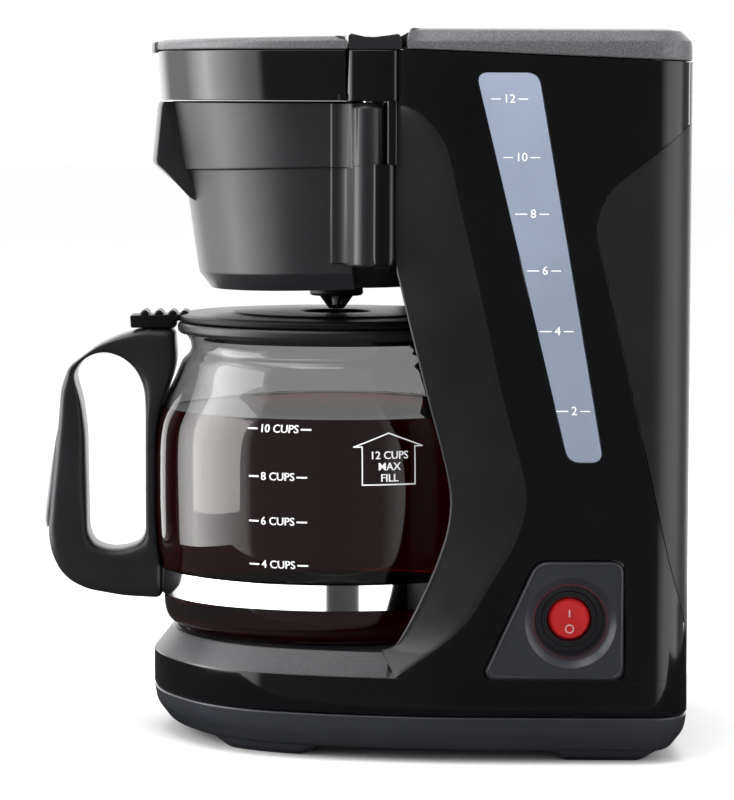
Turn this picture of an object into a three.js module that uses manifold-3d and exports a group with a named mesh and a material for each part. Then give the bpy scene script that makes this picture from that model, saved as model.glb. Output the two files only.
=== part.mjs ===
// Drip coffee maker with a swing-out brew basket, a glass carafe and a lidded water tank.
// Millimetres, +Z up, front towards -Y. Pieces are drawn about the carafe's upright axis,
// and one group at the end moves them all so that the origin lies under the middle.

import * as THREE from "three";
import { mergeVertices } from "three/addons/utils/BufferGeometryUtils.js";
import Module from "manifold-3d";

const wasm = await Module();
wasm.setup();

// Driving dimensions
const AXIS_Y = -9.5; // the carafe's axis in the part's own frame
const HALF_WIDTH = 95;
const REAR_Y = 143;
const CORNER_R = 18;
const GAP = 0.3; // kept between pieces that touch
const WALL = 3; // moulded housing walls
const FOOT_Z = 3.8;
const SEAM_Z = 19.3; // joint between the bottom cover and the base
const CREASE_Z = 34.5; // where the base starts to slope in
const RIM_Z = 44;
const RIM_INSET = 7.5;
const PANEL_TOP_Z = 285.5;
const HEAD_Z = 265.5;
const LID_Z = 286.4;
const TOP_Z = 294.5;
const COLUMN_Y = [4.3, 25.5]; // front and back of the hinge column
const BASKET_Z = { floor: 187.4, cone: 194, step: 238.5, top: 265 };
const BASKET_INSET = { floor: 24.3, cone: 19.3, step: 12.4, collar: 10.3, top: 6 };
const HEATER_Z = 30;
const HINGE = { x: 84, y: 13.4, barrel: 6.6, pin: 2.4 };
const VALVE_TIP_Z = 177.6;
const PLATE_R = 64;
const CARAFE_Z = 44.5;
const LID_AXIS = { y: 30, z: 291.5 };
const LEVER_AXIS = { y: -78.7, z: 167.9 };
const SCREW_PLACES = [[-62, -18], [62, -18], [-70, 72], [70, 72]];
const SWITCH = { y: 95, z: 57.5, r: 18.2, floorX: 81.4, pivotX: 79.5 };
const HANDLE_HALF = 12;

// Half of the plan's front, from the middle to the flat side
const PLAN_FRONT = [
  [0, -76.8], [20, -73.9], [38, -66.8], [60, -52.8], [77, -31],
  [86.4, -3.6], [91.2, 20], [94.3, 43], [HALF_WIDTH, 62],
];
const FRONT_STEPS = 20;
const CORNER_STEPS = 4;
const BASKET_STEPS = 16;
const BASKET_SPAN = 13.3 / 16; // share of the front curve that the basket takes

// Side view (y, z): front edge of the side wall, and the crease where its facet starts
const WALL_EDGE = [
  [25.8, 265], [25.2, 240], [25.2, 205], [28.3, 188], [37.2, 152], [46.5, 115.8],
  [47.4, 99], [43, 82], [33.2, 59.3], [26, 47.5], [19, 44.6],
];
const FACET_CREASE = [
  [26.6, 264.6], [35.4, 259.2], [44, 247.5], [49.3, 226.4], [58.8, 185.9], [67.3, 147.7],
  [76.4, 112], [73.7, 92.6], [63.1, 73.5], [50.4, 54.4], [25, 35],
];
const FACET_STEPS = 20;
// Side view (y, z): where the satin rear cover meets the gloss side wall
const REAR_SEAM = [
  [141.6, 256.4], [132.3, 248.6], [118.9, 238.2], [109.3, 230], [104.4, 218.9],
  [104.4, 211], [110.7, 185.4], [130.9, 96.3], [134.8, 80], [135.4, 60],
];

// Geometry helpers

/** A closed geometry as a solid whose faces point outwards. */
function toSolid(geometry) {
  const bare = geometry.clone();
  bare.deleteAttribute("normal");
  bare.deleteAttribute("uv");
  const merged = mergeVertices(bare, 1e-4);
  const vertProperties = merged.attributes.position.array;
  const kept = [];
  for (let i = 0; i < merged.index.count; i += 3) {
    const [a, b, c] = merged.index.array.slice(i, i + 3);
    if (a !== b && b !== c && c !== a) kept.push([a, b, c]);
  }
  const wrap = (faces) =>
    new wasm.Manifold(new wasm.Mesh({ numProp: 3, vertProperties, triVerts: new Uint32Array(faces.flat()) }));
  const made = wrap(kept);
  return made.volume() > 0 ? made : wrap(kept.map(([a, b, c]) => [a, c, b]));
}

/** A solid as a geometry that a mesh can hold. */
function toGeometry(solid) {
  const mesh = solid.getMesh();
  const geometry = new THREE.BufferGeometry();
  geometry.setAttribute("position", new THREE.BufferAttribute(mesh.vertProperties, 3));
  geometry.setIndex(new THREE.BufferAttribute(mesh.triVerts, 1));
  geometry.computeVertexNormals();
  return geometry;
}

/** Solids joined into one. */
const join = (...solids) => solids.reduce((a, b) => a.add(b));

/** The first solid with the others taken away. */
const cut = (solid, ...tools) => tools.reduce((a, b) => a.subtract(b), solid);

/** A straight prism of an outline: `axis` names the direction that it runs in. */
function prism(outline, axis, low, high) {
  const shape = new THREE.Shape(outline.map(([a, b]) => new THREE.Vector2(a, b)));
  const geometry = new THREE.ExtrudeGeometry(shape, { depth: high - low, bevelEnabled: false });
  geometry.translate(0, 0, low);
  const turn = new THREE.Matrix4();
  if (axis === "x") turn.set(0, 0, 1, 0, 1, 0, 0, 0, 0, 1, 0, 0, 0, 0, 0, 1);
  return toSolid(geometry.applyMatrix4(turn));
}

/** A box from its two corners. */
function block(x0, x1, y0, y1, z0, z1) {
  const box = new THREE.BoxGeometry(x1 - x0, y1 - y0, z1 - z0);
  return toSolid(box.translate((x0 + x1) / 2, (y0 + y1) / 2, (z0 + z1) / 2));
}

/** A profile of [radius, z] turned about the upright line at (x, y). */
function turned(profile, sides, x = 0, y = 0) {
  const lathe = new THREE.LatheGeometry(profile.map(([r, z]) => new THREE.Vector2(r, z)), sides);
  return toSolid(lathe.rotateX(Math.PI / 2).translate(x, y, 0));
}

/** A flat ring, or a disc where the inner radius is 0. */
function ring(inner, outer, z0, z1, sides = 36, x = 0, y = 0) {
  const profile = [[inner, z0], [outer, z0], [outer, z1], [inner, z1]];
  if (inner > 0) profile.push([inner, z0]);
  return turned(profile, sides, x, y);
}

/** A round bar between two points, thinner at its end where `endRadius` says so. */
function bar(radius, from, to, sides = 16, endRadius = radius) {
  const start = new THREE.Vector3(...from);
  const along = new THREE.Vector3(...to).sub(start);
  const geometry = new THREE.CylinderGeometry(endRadius, radius, along.length(), sides);
  geometry.translate(0, along.length() / 2, 0);
  const turn = new THREE.Quaternion().setFromUnitVectors(new THREE.Vector3(0, 1, 0), along.normalize());
  return toSolid(geometry.applyQuaternion(turn).translate(...from));
}

/** A tube of plain round section along a smooth curve through the points. */
function hose(radius, points, steps, sides = 8) {
  const path = new THREE.CatmullRomCurve3(points.map((p) => new THREE.Vector3(...p)));
  const section = new THREE.Shape();
  section.absarc(0, 0, radius, 0, 2 * Math.PI);
  const options = { steps, extrudePath: path, curveSegments: sides / 2 };
  return toSolid(new THREE.ExtrudeGeometry(section, options));
}

/** Closed rings of equal count joined in order, with a fan over each end. */
function loft(rings) {
  const count = rings[0].length;
  const index = [];
  for (let k = 0; k + 1 < rings.length; k++)
    for (let i = 0; i < count; i++) {
      const a = k * count + i;
      const b = k * count + ((i + 1) % count);
      index.push(a, b, b + count, a, b + count, a + count);
    }
  const last = (rings.length - 1) * count;
  for (let i = 1; i + 1 < count; i++) index.push(0, i + 1, i, last, last + i, last + i + 1);
  const geometry = new THREE.BufferGeometry().setFromPoints(rings.flat());
  return toSolid(geometry.setIndex(index));
}

/** A plan outline lifted to a height. */
const at = (z, plan) => plan.map((p) => new THREE.Vector3(p.x, p.y, z));

/** The curve of the housing's front, from its left side to its right. */
function frontCurve() {
  const right = PLAN_FRONT.map(([x, y]) => new THREE.Vector2(x, y));
  const left = PLAN_FRONT.slice(1).map(([x, y]) => new THREE.Vector2(-x, y));
  return new THREE.SplineCurve([...left.reverse(), ...right]);
}

/** Points of the front curve between two shares of it, moved inwards. */
function frontPoints(inset, from, to, steps) {
  const front = frontCurve();
  const points = [];
  for (let i = 0; i <= steps; i++) {
    const u = from + ((to - from) * i) / steps;
    const along = front.getTangent(u);
    const inward = new THREE.Vector2(-along.y, along.x);
    points.push(front.getPoint(u).addScaledVector(inward, inset));
  }
  return points;
}

/** The whole plan of the housing, drawn in by `inset`. */
function housingPlan(inset) {
  const points = frontPoints(inset, 0, 1, FRONT_STEPS);
  for (const [side, start] of [[1, 0], [-1, Math.PI / 2]])
    for (let k = 0; k <= CORNER_STEPS; k++) {
      const angle = start + (k * Math.PI) / (2 * CORNER_STEPS);
      const r = CORNER_R - inset;
      const x = side * (HALF_WIDTH - CORNER_R) + r * Math.cos(angle);
      points.push(new THREE.Vector2(x, REAR_Y - CORNER_R + r * Math.sin(angle)));
    }
  return points;
}

/** The plan of the brew basket: the housing's front curve, closed by half an ellipse. */
function basketPlan(inset) {
  const points = frontPoints(inset, 1 - BASKET_SPAN, BASKET_SPAN, BASKET_STEPS);
  for (let k = 0; k <= 10; k++) {
    const angle = (k * Math.PI) / 10;
    const x = (74 - inset) * Math.cos(angle);
    points.push(new THREE.Vector2(x, 4.5 + (54 - 0.7 * inset) * Math.sin(angle)));
  }
  return points;
}

/** A stack of housing plans, each given as [inset, z]. */
const housingLoft = (levels) => loft(levels.map(([inset, z]) => at(z, housingPlan(inset))));

/** The thin skin of the housing between two heights. */
function housingSkin(inset, thickness, z0, z1) {
  const outer = housingLoft([[inset, z0], [inset, z1]]);
  return cut(outer, housingLoft([[inset + thickness, z0 - 1], [inset + thickness, z1 + 1]]));
}

// Finishes: colour, roughness, metalness
const FINISH = {
  gloss: [0x08080a, 0.12, 0],
  satin: [0x1b1c1f, 0.45, 0],
  textured: [0x2a2b2e, 0.6, 0],
  slate: [0x2b2f36, 0.4, 0],
  rubber: [0x18191b, 0.85, 0],
  glass: [0xe6edee, 0.05, 0],
  window: [0x9db4d6, 0.35, 0],
  tank: [0xd5dee2, 0.3, 0],
  chrome: [0xd8d8d8, 0.1, 1],
  steel: [0xa0a2a4, 0.35, 1],
  plate: [0x16171a, 0.3, 0],
  red: [0xb41414, 0.2, 0],
  silver: [0xc8cacc, 0.4, 0.6],
  silicone: [0xdcdcd6, 0.6, 0],
};

const groups = {};

/** Adds a named mesh to the group of its moving body. */
function add(bodyName, name, finish, solid) {
  const [color, roughness, metalness] = FINISH[finish];
  const material = new THREE.MeshStandardMaterial({ color, roughness, metalness });
  const mesh = new THREE.Mesh(toGeometry(solid), material);
  mesh.name = name;
  groups[bodyName] ??= new THREE.Group();
  groups[bodyName].add(mesh);
}

// Base

/** The rebate round the base that the side walls and the rear cover stand in. */
const wallSeat = () => cut(
  block(-100, 100, 19, 150, CREASE_Z, RIM_Z + 1),
  housingLoft([[WALL + 0.7, CREASE_Z - 1], [WALL + 0.7, RIM_Z + 2]]),
);

function baseShell() {
  const outer = housingLoft([[0, SEAM_Z + GAP], [0, CREASE_Z], [RIM_INSET, RIM_Z]]);
  const hollow = housingLoft([[WALL, SEAM_Z - 1], [WALL, CREASE_Z - 1], [RIM_INSET + WALL, RIM_Z - WALL]]);
  const plateHole = ring(0, PLATE_R + 2.7, RIM_Z - 5, RIM_Z + 1, 36);
  const hoseSlot = block(-84, 84, 84, 128, RIM_Z - 5, RIM_Z + 1);
  const switchRoom = block(74, 100, 58, 120, CREASE_Z, RIM_Z + 1);
  const glandHole = bar(6.3, [-40, REAR_Y - 10, 27], [-40, REAR_Y + 1, 27], 12);
  return cut(outer, hollow, plateHole, hoseSlot, switchRoom, wallSeat(), glandHole);
}

function bottomCover() {
  const outer = housingLoft([[10, FOOT_Z], [6, 6], [2.5, 10], [0, SEAM_Z]]);
  const hollow = housingLoft([[8.4, FOOT_Z + 2.6], [4.9, 10.4], [2.4, SEAM_Z + 1]]);
  let tray = cut(outer, hollow);
  for (const [x, y] of SCREW_PLACES) {
    const tower = ring(0, 5, FOOT_Z, 16, 12, x, y);
    tray = cut(join(tray, tower), ring(0, 2, 3, 17, 8, x, y), ring(0, 3.6, 3, 8, 8, x, y));
  }
  return tray;
}

const coverScrew = (x, y) => join(ring(0, 3.2, 5.4, 7.6, 8, x, y), ring(0, 1.6, 7, 18, 8, x, y));

function foot(x, y0, y1) {
  const half = 9;
  const pad = (inset, z) => at(z, [
    [x - half + inset, y0 + inset], [x + half - inset, y0 + inset],
    [x + half - inset, y1 - inset], [x - half + inset, y1 - inset],
  ].map(([a, b]) => new THREE.Vector2(a, b)));
  return loft([pad(2.5, 0), pad(0.6, 1.6), pad(0, FOOT_Z - GAP)]);
}

function warmingPlate() {
  const r = PLATE_R;
  return turned([
    [0, 43], [r - 4.6, 43], [r - 2.4, 42], [r - 2.2, 36], [r - 1, 36], [r - 0.8, 42.6], [r, 43.2],
    [r - 1.2, 44], [r - 3, 44.2], [r - 6, 43.8], [0, 43.8],
  ], 36);
}

/** Horseshoe heating tube under the plate, its two ends towards the back. */
function heaterElement() {
  const radius = 44;
  const points = [[-36, 57, HEATER_Z]];
  for (let k = 0; k <= 6; k++) {
    const angle = Math.PI * (0.85 + (1.3 * k) / 6);
    points.push([radius * Math.cos(angle), radius * Math.sin(angle), HEATER_Z]);
  }
  points.push([36, 57, HEATER_Z]);
  return hose(5, points, 20);
}

const heaterClamp = () => join(block(-52, 52, -4, 4, 22.6, 24.6), ring(0, 5, 24, 42.6, 10));

// Tower

/** The ruled strip between the wall's front edge and its facet crease. */
function facetStrip() {
  const edge = new THREE.SplineCurve(WALL_EDGE.map(([y, z]) => new THREE.Vector2(y, z)));
  const crease = new THREE.SplineCurve(FACET_CREASE.map(([y, z]) => new THREE.Vector2(y, z)));
  const rings = [];
  for (let i = 0; i <= FACET_STEPS; i++) {
    const u = i / FACET_STEPS;
    const e = edge.getPoint(u);
    const c = crease.getPoint(u);
    c.addScaledVector(c.clone().sub(e).normalize(), 1.6);
    const depth = 2 + 4.6 * u;
    rings.push([
      new THREE.Vector3(sideX(c.x) - 0.25, c.x, c.y),
      new THREE.Vector3(sideX(e.x) - depth, e.x, e.y),
      new THREE.Vector3(sideX(e.x) - depth - 2.6, e.x, e.y),
      new THREE.Vector3(sideX(c.x) - 3, c.x, c.y),
    ]);
  }
  return loft(rings);
}

/** Half width of the housing at a given y. */
function sideX(y) {
  const points = frontPoints(0, 0.5, 1, 40);
  const next = points.findIndex((p) => p.y > y);
  if (next < 1) return HALF_WIDTH;
  const [a, b] = [points[next - 1], points[next]];
  return a.x + ((b.x - a.x) * (y - a.y)) / (b.y - a.y);
}

/** Level window, as its outline in side view, grown by `extra`. */
function windowOutline(extra) {
  const e = extra;
  return [
    [93 - e, 122 - e], [107.5 + e, 122 - e], [109 + e, 126], [83.6 + e, 274], [80.5 + e, 277 + e],
    [59 - e, 277 + e], [57.4 - e, 274], [91.4 - e, 125],
  ];
}

/** Switch bezel, as its outline in side view, grown by `extra`. */
function bezelOutline(extra) {
  const e = extra;
  return [
    [62 - e, 33.9 - e + 1.2], [115.6 + e, 33.9 - e + 1.2], [117.2 + e, 37], [117.2 + e, 79.6],
    [114.6 + e, 82 + e], [84.6 - e, 82 + e], [80.4 - e, 79.4], [60.6 - e, 38],
  ];
}

function sidePanel() {
  const back = REAR_SEAM.map(([y, z]) => [y - GAP, z]);
  const outline = [
    ...FACET_CREASE, [25, 34.9], [135.1, 34.9], ...back.reverse(),
    [141.3, PANEL_TOP_Z], [26, PANEL_TOP_Z],
  ];
  const skin = housingSkin(0, WALL + 0.3, 34.8, PANEL_TOP_Z);
  const main = skin.intersect(prism(outline, "x", 60, 100));
  const base = housingLoft([[0, SEAM_Z], [0, CREASE_Z + GAP], [RIM_INSET, RIM_Z + GAP]]);
  return cut(join(main, facetStrip()), cut(base, wallSeat()));
}

function sidePanelRight() {
  return cut(
    sidePanel(),
    prism(windowOutline(0.4), "x", 80, 100),
    prism(bezelOutline(0.5), "x", 80, 100),
  );
}

/** A solid reflected to the other side of the machine. */
const mirrored = (solid) => solid.mirror([1, 0, 0]);

function rearCover() {
  const outline = [
    ...REAR_SEAM, [135.4, 34.9], [150, 34.9], [150, PANEL_TOP_Z], [141.7, PANEL_TOP_Z],
  ];
  const vents = [0, 1, 2, 3, 4].map((k) => block(20, 60, 130, 150, 60 + 7 * k, 62.5 + 7 * k));
  return cut(housingSkin(0, WALL, 34.8, PANEL_TOP_Z).intersect(prism(outline, "x", -100, 100)), ...vents);
}

function towerFrontWall() {
  const inner = 80.5;
  const thick = 2.5;
  const points = [[84, 47.8]];
  const steps = 12;
  const first = 0.2 * Math.PI;
  for (let k = 0; k <= steps; k++) {
    const angle = first + ((Math.PI - 2 * first) * k) / steps;
    points.push([inner * Math.cos(angle), inner * Math.sin(angle)]);
  }
  points.push([-84, 47.8], [-84, 47.8 + thick]);
  for (let k = steps; k >= 0; k--) {
    const angle = first + ((Math.PI - 2 * first) * k) / steps;
    points.push([(inner + thick) * Math.cos(angle), (inner + thick) * Math.sin(angle)]);
  }
  points.push([84, 47.8 + thick]);
  const wall = prism(points, "z", RIM_Z + GAP, 183);
  const ceiling = cut(
    block(-84, 84, 62, 82, 183 - thick, 183),
    ring(0, inner + 1, 170, 190, 36),
  );
  return join(wall, ceiling);
}

function basketBayWall() {
  return prism([[79.5, 183.4], [82, 183.4], [58.4, 265.1], [55.9, 265.1]], "x", -84, 84);
}

function waterTank() {
  const slab = (inset, frontY, z) => at(z, [
    [-71 + inset, frontY + inset], [90.6 - inset, frontY + inset], [90.6 - inset, 122 - inset],
    [76 - inset, 137 - inset], [-71 + inset, 137 - inset],
  ].map(([a, b]) => new THREE.Vector2(a, b)));
  const shell = (inset, low, high) => loft([slab(inset, 92, low), slab(inset, 83.4, 183), slab(inset, 56.4, high)]);
  const spigot = ring(0, 6, 107, 113, 12, 40, 115);
  const outlet = ring(0, 4, 105, 116, 12, 40, 115);
  return cut(join(cut(shell(0, 112, 276), shell(2.4, 114.4, 277)), spigot), outlet);
}

function waterWindow() {
  return prism(windowOutline(0), "x", HALF_WIDTH - 3.4, HALF_WIDTH - 0.3);
}

// Head, top covers and hinge

function headHousing() {
  const outer = housingLoft([[1.6, HEAD_Z], [0, PANEL_TOP_Z + GAP]]);
  const hollow = housingLoft([[WALL + 1.6, HEAD_Z + 2.5], [WALL, PANEL_TOP_Z + 1]]);
  const front = cut(outer, hollow).intersect(block(-100, 100, -100, COLUMN_Y[0] - GAP, 260, 290));
  const floor = block(-72, 72, -10, 55.4, HEAD_Z, HEAD_Z + 2.5);
  return cut(join(front, floor), ring(0, 14.3, 260, 270, 24));
}

function topCoverFront() {
  const outer = housingLoft([[0, PANEL_TOP_Z + 0.6], [0, 289.6], [2.5, 292.6]]);
  const hollow = housingLoft([[WALL, 285], [WALL, 288.6]]);
  const slope = prism([[-80, 290], [6, 292.6], [6, 300], [-80, 300]], "x", -100, 100);
  const behind = block(-100, 100, 4.9, 160, 280, 300);
  return cut(outer, hollow, slope, behind);
}

function topBridge() {
  const outline = [
    [5.2, PANEL_TOP_Z + 0.6], [26.6, PANEL_TOP_Z + 0.6], [26.6, 291.4], [24, 292],
    [20, 291.2], [14.5, 290.9], [9, 291.3], [5.2, 292.3],
  ];
  const ear = [[26, 287.5], [31.8, 287.5], [32.6, 291.5], [30, 293.8], [26, 291]];
  const bridge = housingLoft([[0, 280], [0, 300]]).intersect(prism(outline, "x", -100, 100));
  const made = join(bridge, ...[-1, 1].map((s) => prism(ear, "x", 40 * s - 3, 40 * s + 3)));
  const bore = bar(1.8, [-50, LID_AXIS.y, LID_AXIS.z], [50, LID_AXIS.y, LID_AXIS.z], 12);
  return cut(made, bore);
}

const lidPin = (side) =>
  bar(1.5, [side * 40 - 7, LID_AXIS.y, LID_AXIS.z], [side * 40 + 7, LID_AXIS.y, LID_AXIS.z], 12);

function tankLid() {
  const outer = housingLoft([[0.4, LID_Z], [0.4, 287.6], [6.5, TOP_Z]]);
  const hollow = housingLoft([[3.2, LID_Z - 1], [3.4, 288], [9.5, TOP_Z - 3]]);
  const front = prism([
    [-100, 280], [28.9, 280], [28.9, LID_Z], [27.6, 289.2], [27.6, 292], [30, 296], [-100, 296],
  ], "x", -100, 100);
  const skirt = block(-84, 84, 28, 31, 287.2, 293);
  let lid = join(cut(outer, hollow), skirt);
  for (const side of [-40, 40]) {
    const boss = block(side - 8, side + 8, 28, 33.4, 288.6, 293);
    const notch = block(side - 3.4, side + 3.4, 20, 33.6, 280, 300);
    const bore = bar(1.8, [side - 7.5, LID_AXIS.y, LID_AXIS.z], [side + 7.5, LID_AXIS.y, LID_AXIS.z], 8);
    lid = cut(join(lid, boss), notch, bore);
  }
  return cut(lid, front);
}

/** A post in front of the side wall, from the top of the head to the bottom of the basket. */
function headColumn() {
  const plan = housingLoft([[-0.3, 150], [-0.3, 300]]);
  const upper = block(74, 100, ...COLUMN_Y, HEAD_Z, PANEL_TOP_Z + GAP);
  const lower = prism([
    [13.9, 203], [16, 200], [20, 198], [24.7, 197.4], [24.7, HEAD_Z + 1], [13.9, HEAD_Z + 1],
  ], "x", 74, 91);
  return join(upper, lower).intersect(plan);
}

function hingeColumn() {
  const { x, y, pin, barrel } = HINGE;
  return cut(
    headColumn(),
    ring(0, barrel + GAP, 180, HEAD_Z - GAP, 28, x, y),
    block(x, 100, 13, y + barrel + 0.6, 239.9, HEAD_Z - GAP),
    ring(0, pin + GAP, 260, 273, 16, x, y),
  );
}

const hingePin = () => ring(0, HINGE.pin, 206, 272, 12, HINGE.x, HINGE.y);

function sprayHead() {
  return cut(
    join(ring(0, 13.9, 265.7, 269, 24), ring(0, 20, 268.4, 270.4, 24), ring(0, 9, 270, 282, 16)),
    ring(0, 11.5, 265, 268.4, 24),
    ring(0, 3, 268, 278, 10),
  );
}

// Water path

const inletHose = () => hose(5, [
  [40, 115, 88], [40, 114, 70], [40, 106, 50], [40, 96, 36], [38, 80, 31], [36.5, 61, HEATER_Z],
], 14);

const checkValve = () => cut(
  join(ring(0, 6, 92, 106, 12, 40, 115), ring(0, 7.5, 96, 102, 12, 40, 115)),
  ring(0, 2.5, 91, 107, 8, 40, 115),
);

function riserTube() {
  return hose(4.4, [
    [-36.5, 61, HEATER_Z], [-48, 78, 31], [-68, 94, 36], [-78, 100, 60], [-78, 102, 120], [-78, 92, 200],
    [-78, 70, 258], [-78, 57, 276], [-67, 43, 279], [-38, 23, 277], [-11, 7, 276],
  ], 26);
}

// Switch

function switchBezel() {
  const { y, z, r, floorX } = SWITCH;
  const face = HALF_WIDTH - 0.1;
  const plate = prism(bezelOutline(0), "x", face - 3, face);
  const cup = bar(r - 2.6, [floorX - 1.5, y, z], [face - 2, y, z], 28, r + 1.6);
  const dish = bar(13.5, [floorX, y, z], [face + 0.2, y, z], 28, r);
  return cut(join(plate, cup), dish, bar(10.4, [70, y, z], [90, y, z], 24));
}

function switchBody() {
  const { y, z } = SWITCH;
  const can = bar(10.1, [62, y, z], [82.6, y, z], 24);
  return cut(can, bar(9.8, [68, y, z], [84, y, z], 24));
}

/** A ball with a flat face, tilted to its on position. */
function switchRocker() {
  const { y, z, pivotX } = SWITCH;
  const ball = toSolid(new THREE.SphereGeometry(9.4, 16, 10));
  const face = block(-8, 3.8, -12, 12, -12, 12).rotate([0, -7, 0]);
  return ball.intersect(face).translate([pivotX, y, z]);
}

// Brew basket

function basketHolder() {
  const levels = [
    [BASKET_INSET.floor, BASKET_Z.floor], [BASKET_INSET.cone, BASKET_Z.cone],
    [BASKET_INSET.step, BASKET_Z.step - 0.4], [BASKET_INSET.collar, BASKET_Z.step],
    [BASKET_INSET.top, BASKET_Z.top],
  ];
  const basketLoft = (list) => loft(list.map(([inset, z]) => at(z, basketPlan(inset))));
  const outer = basketLoft(levels);
  const hollow = basketLoft([
    [BASKET_INSET.floor + 1, BASKET_Z.floor + 3], [BASKET_INSET.cone + 2.4, BASKET_Z.cone + 1],
    [BASKET_INSET.step + 2.4, BASKET_Z.step], [BASKET_INSET.top + 3, BASKET_Z.top + 1],
  ]);
  const { x, y, barrel, pin } = HINGE;
  const knuckle = turned([
    [0, 200], [barrel, 200], [barrel, 262.6], [barrel - 1.6, 264.8], [0, 264.8],
  ], 20, x, y);
  const webPlan = (outerEdge) => [...outerEdge, [84, y], [78.5, 10], [68, 4.6], [66, 0], [72, -9]];
  const web = join(
    prism(webPlan([[79.6, -9], [82.6, 0], [88, 9]]), "z", 240.2, BASKET_Z.top - 0.4),
    prism(webPlan([[78.2, -9], [80.6, 0], [84.2, 7.4]]), "z", 200, 240.4),
  );
  const grip = prism([[-58, 224], [-61.5, 225.4], [-77.2, 239.2], [-74.8, 264.6], [-58, 264.6]], "x", -26, 26);
  const inner = join(hollow, ring(0, 4.2, 180, 200, 16));
  const pinBore = ring(0, pin + GAP, 205, 270, 12, x, y);
  return cut(join(outer, web, knuckle, grip), inner, pinBore);
}

function filterBasket() {
  return turned([
    [9, 203], [38, 203], [40, 204], [50.2, 261], [51.5, 261.4], [51.5, 263], [49, 263],
    [38.4, 205.2], [9, 204.6], [9, 203],
  ], 28, 0, -3);
}

function valveGuard() {
  const hub = ring(3.2, 11, 183.6, 187.1, 24);
  const tip = ring(2.2, 3.4, 178.4, 179.6, 12);
  const ribs = [0, 1, 2, 3, 4, 5].map((k) => {
    const rib = prism([[2.6, 178.6], [3.6, 178.6], [7.4, 184], [3.4, 184]], "x", -0.6, 0.6);
    return rib.rotate([0, 0, 60 * k]);
  });
  return join(hub, tip, ...ribs);
}

function valveCage() {
  const wall = turned([[9.6, 190.7], [11, 190.7], [11, 200.4], [2.6, 201.4], [2.6, 200], [9.6, 199.2], [9.6, 190.7]], 24);
  const windows = [0, 60, 120].map((a) => block(-20, 20, -2.6, 2.6, 191.8, 197.6).rotate([0, 0, a]));
  return cut(wall, ...windows);
}

function valveStem() {
  return turned([
    [0, VALVE_TIP_Z], [1, VALVE_TIP_Z], [1.8, 178.4], [1.8, 191.9], [6, 191.9], [6, 193.2],
    [1.8, 193.6], [1.8, 196], [0, 196],
  ], 12);
}

const valveSeal = () => ring(2.2, 8.4, 190.7, 191.6, 24);

const valveSpring = () => ring(3.2, 5.2, 193.9, 199.4, 16);

// Carafe

function carafeGlass() {
  return turned([
    [0, CARAFE_Z], [60, CARAFE_Z], [66, 45.2], [69.5, 46.8], [71.6, 50], [72.7, 57], [73.1, 68.5],
    [75.5, 80], [76.3, 104], [76.2, 124], [74, 135.6], [70.6, 144], [67.2, 151.5], [65.3, 156.5],
    [61.9, 161.8], [62.4, 165], [64.2, 168], [64.2, 170.2], [61.8, 170.2], [60, 164.4],
    [59.5, 161.6], [62.9, 155.6], [68, 144.2], [73.4, 126], [73.9, 104], [73.1, 80.4], [70.3, 60],
    [69, 51], [65, 48], [0, 47.2],
  ], 32);
}

const collarRing = () => turned([
  [64.6, 167.8], [66.2, 168.2], [66.9, 170], [66.4, 172.2], [60.4, 172.6], [60.4, 170.6],
  [64.6, 170.6], [64.6, 167.8],
], 32);

const chromeBand = () => ring(73.7, 74.4, 58, 68, 32);

function carafeHandle() {
  const outline = [
    [-67.5, 169.6], [-81.3, 169.8], [-92, 166.4], [-100.2, 162.8], [-107.5, 158], [-112.7, 153.5],
    [-115.7, 145.2], [-116.9, 132.7], [-118.5, 113.5], [-120.3, 96.7], [-121.5, 83.4], [-120.3, 75],
    [-116.9, 67.4], [-111.9, 62.3], [-104.3, 58.9], [-89.3, 56.3], [-74.8, 55.4], [-74.8, 68],
    [-76, 76], [-76.9, 90], [-77, 124], [-74.9, 137], [-70.6, 147], [-67.9, 153], [-67.5, 158],
  ];
  const hole = [
    [-110.3, 150], [-106.8, 156], [-101.9, 159], [-95.9, 159.6], [-89.2, 157], [-84.1, 152],
    [-80.9, 144.5], [-80.5, 134], [-80.5, 84], [-82.6, 79.4], [-89, 77], [-95.9, 76.6],
    [-101.9, 79], [-104.3, 84], [-105.1, 126], [-106.7, 138.5],
  ];
  const { y, z } = LEVER_AXIS;
  return cut(
    prism(outline, "x", -HANDLE_HALF, HANDLE_HALF),
    prism(hole, "x", -20, 20),
    block(-5.6, 5.6, -84, -73.6, 162.8, 175),
    bar(1.8, [-10.4, y, z], [10.4, y, z], 12),
  );
}

const handleStrip = () => prism([
  [-117.6, 127.4], [-121, 114], [-123.2, 103], [-124, 93], [-123.4, 87], [-122, 84.6], [-121.9, 87],
  [-120.7, 97], [-118.9, 113.6], [-117.4, 127],
], "x", -7, 7);

const carafeLidPin = () => bar(1.5, [-10, LEVER_AXIS.y, LEVER_AXIS.z], [10, LEVER_AXIS.y, LEVER_AXIS.z], 12);

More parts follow.
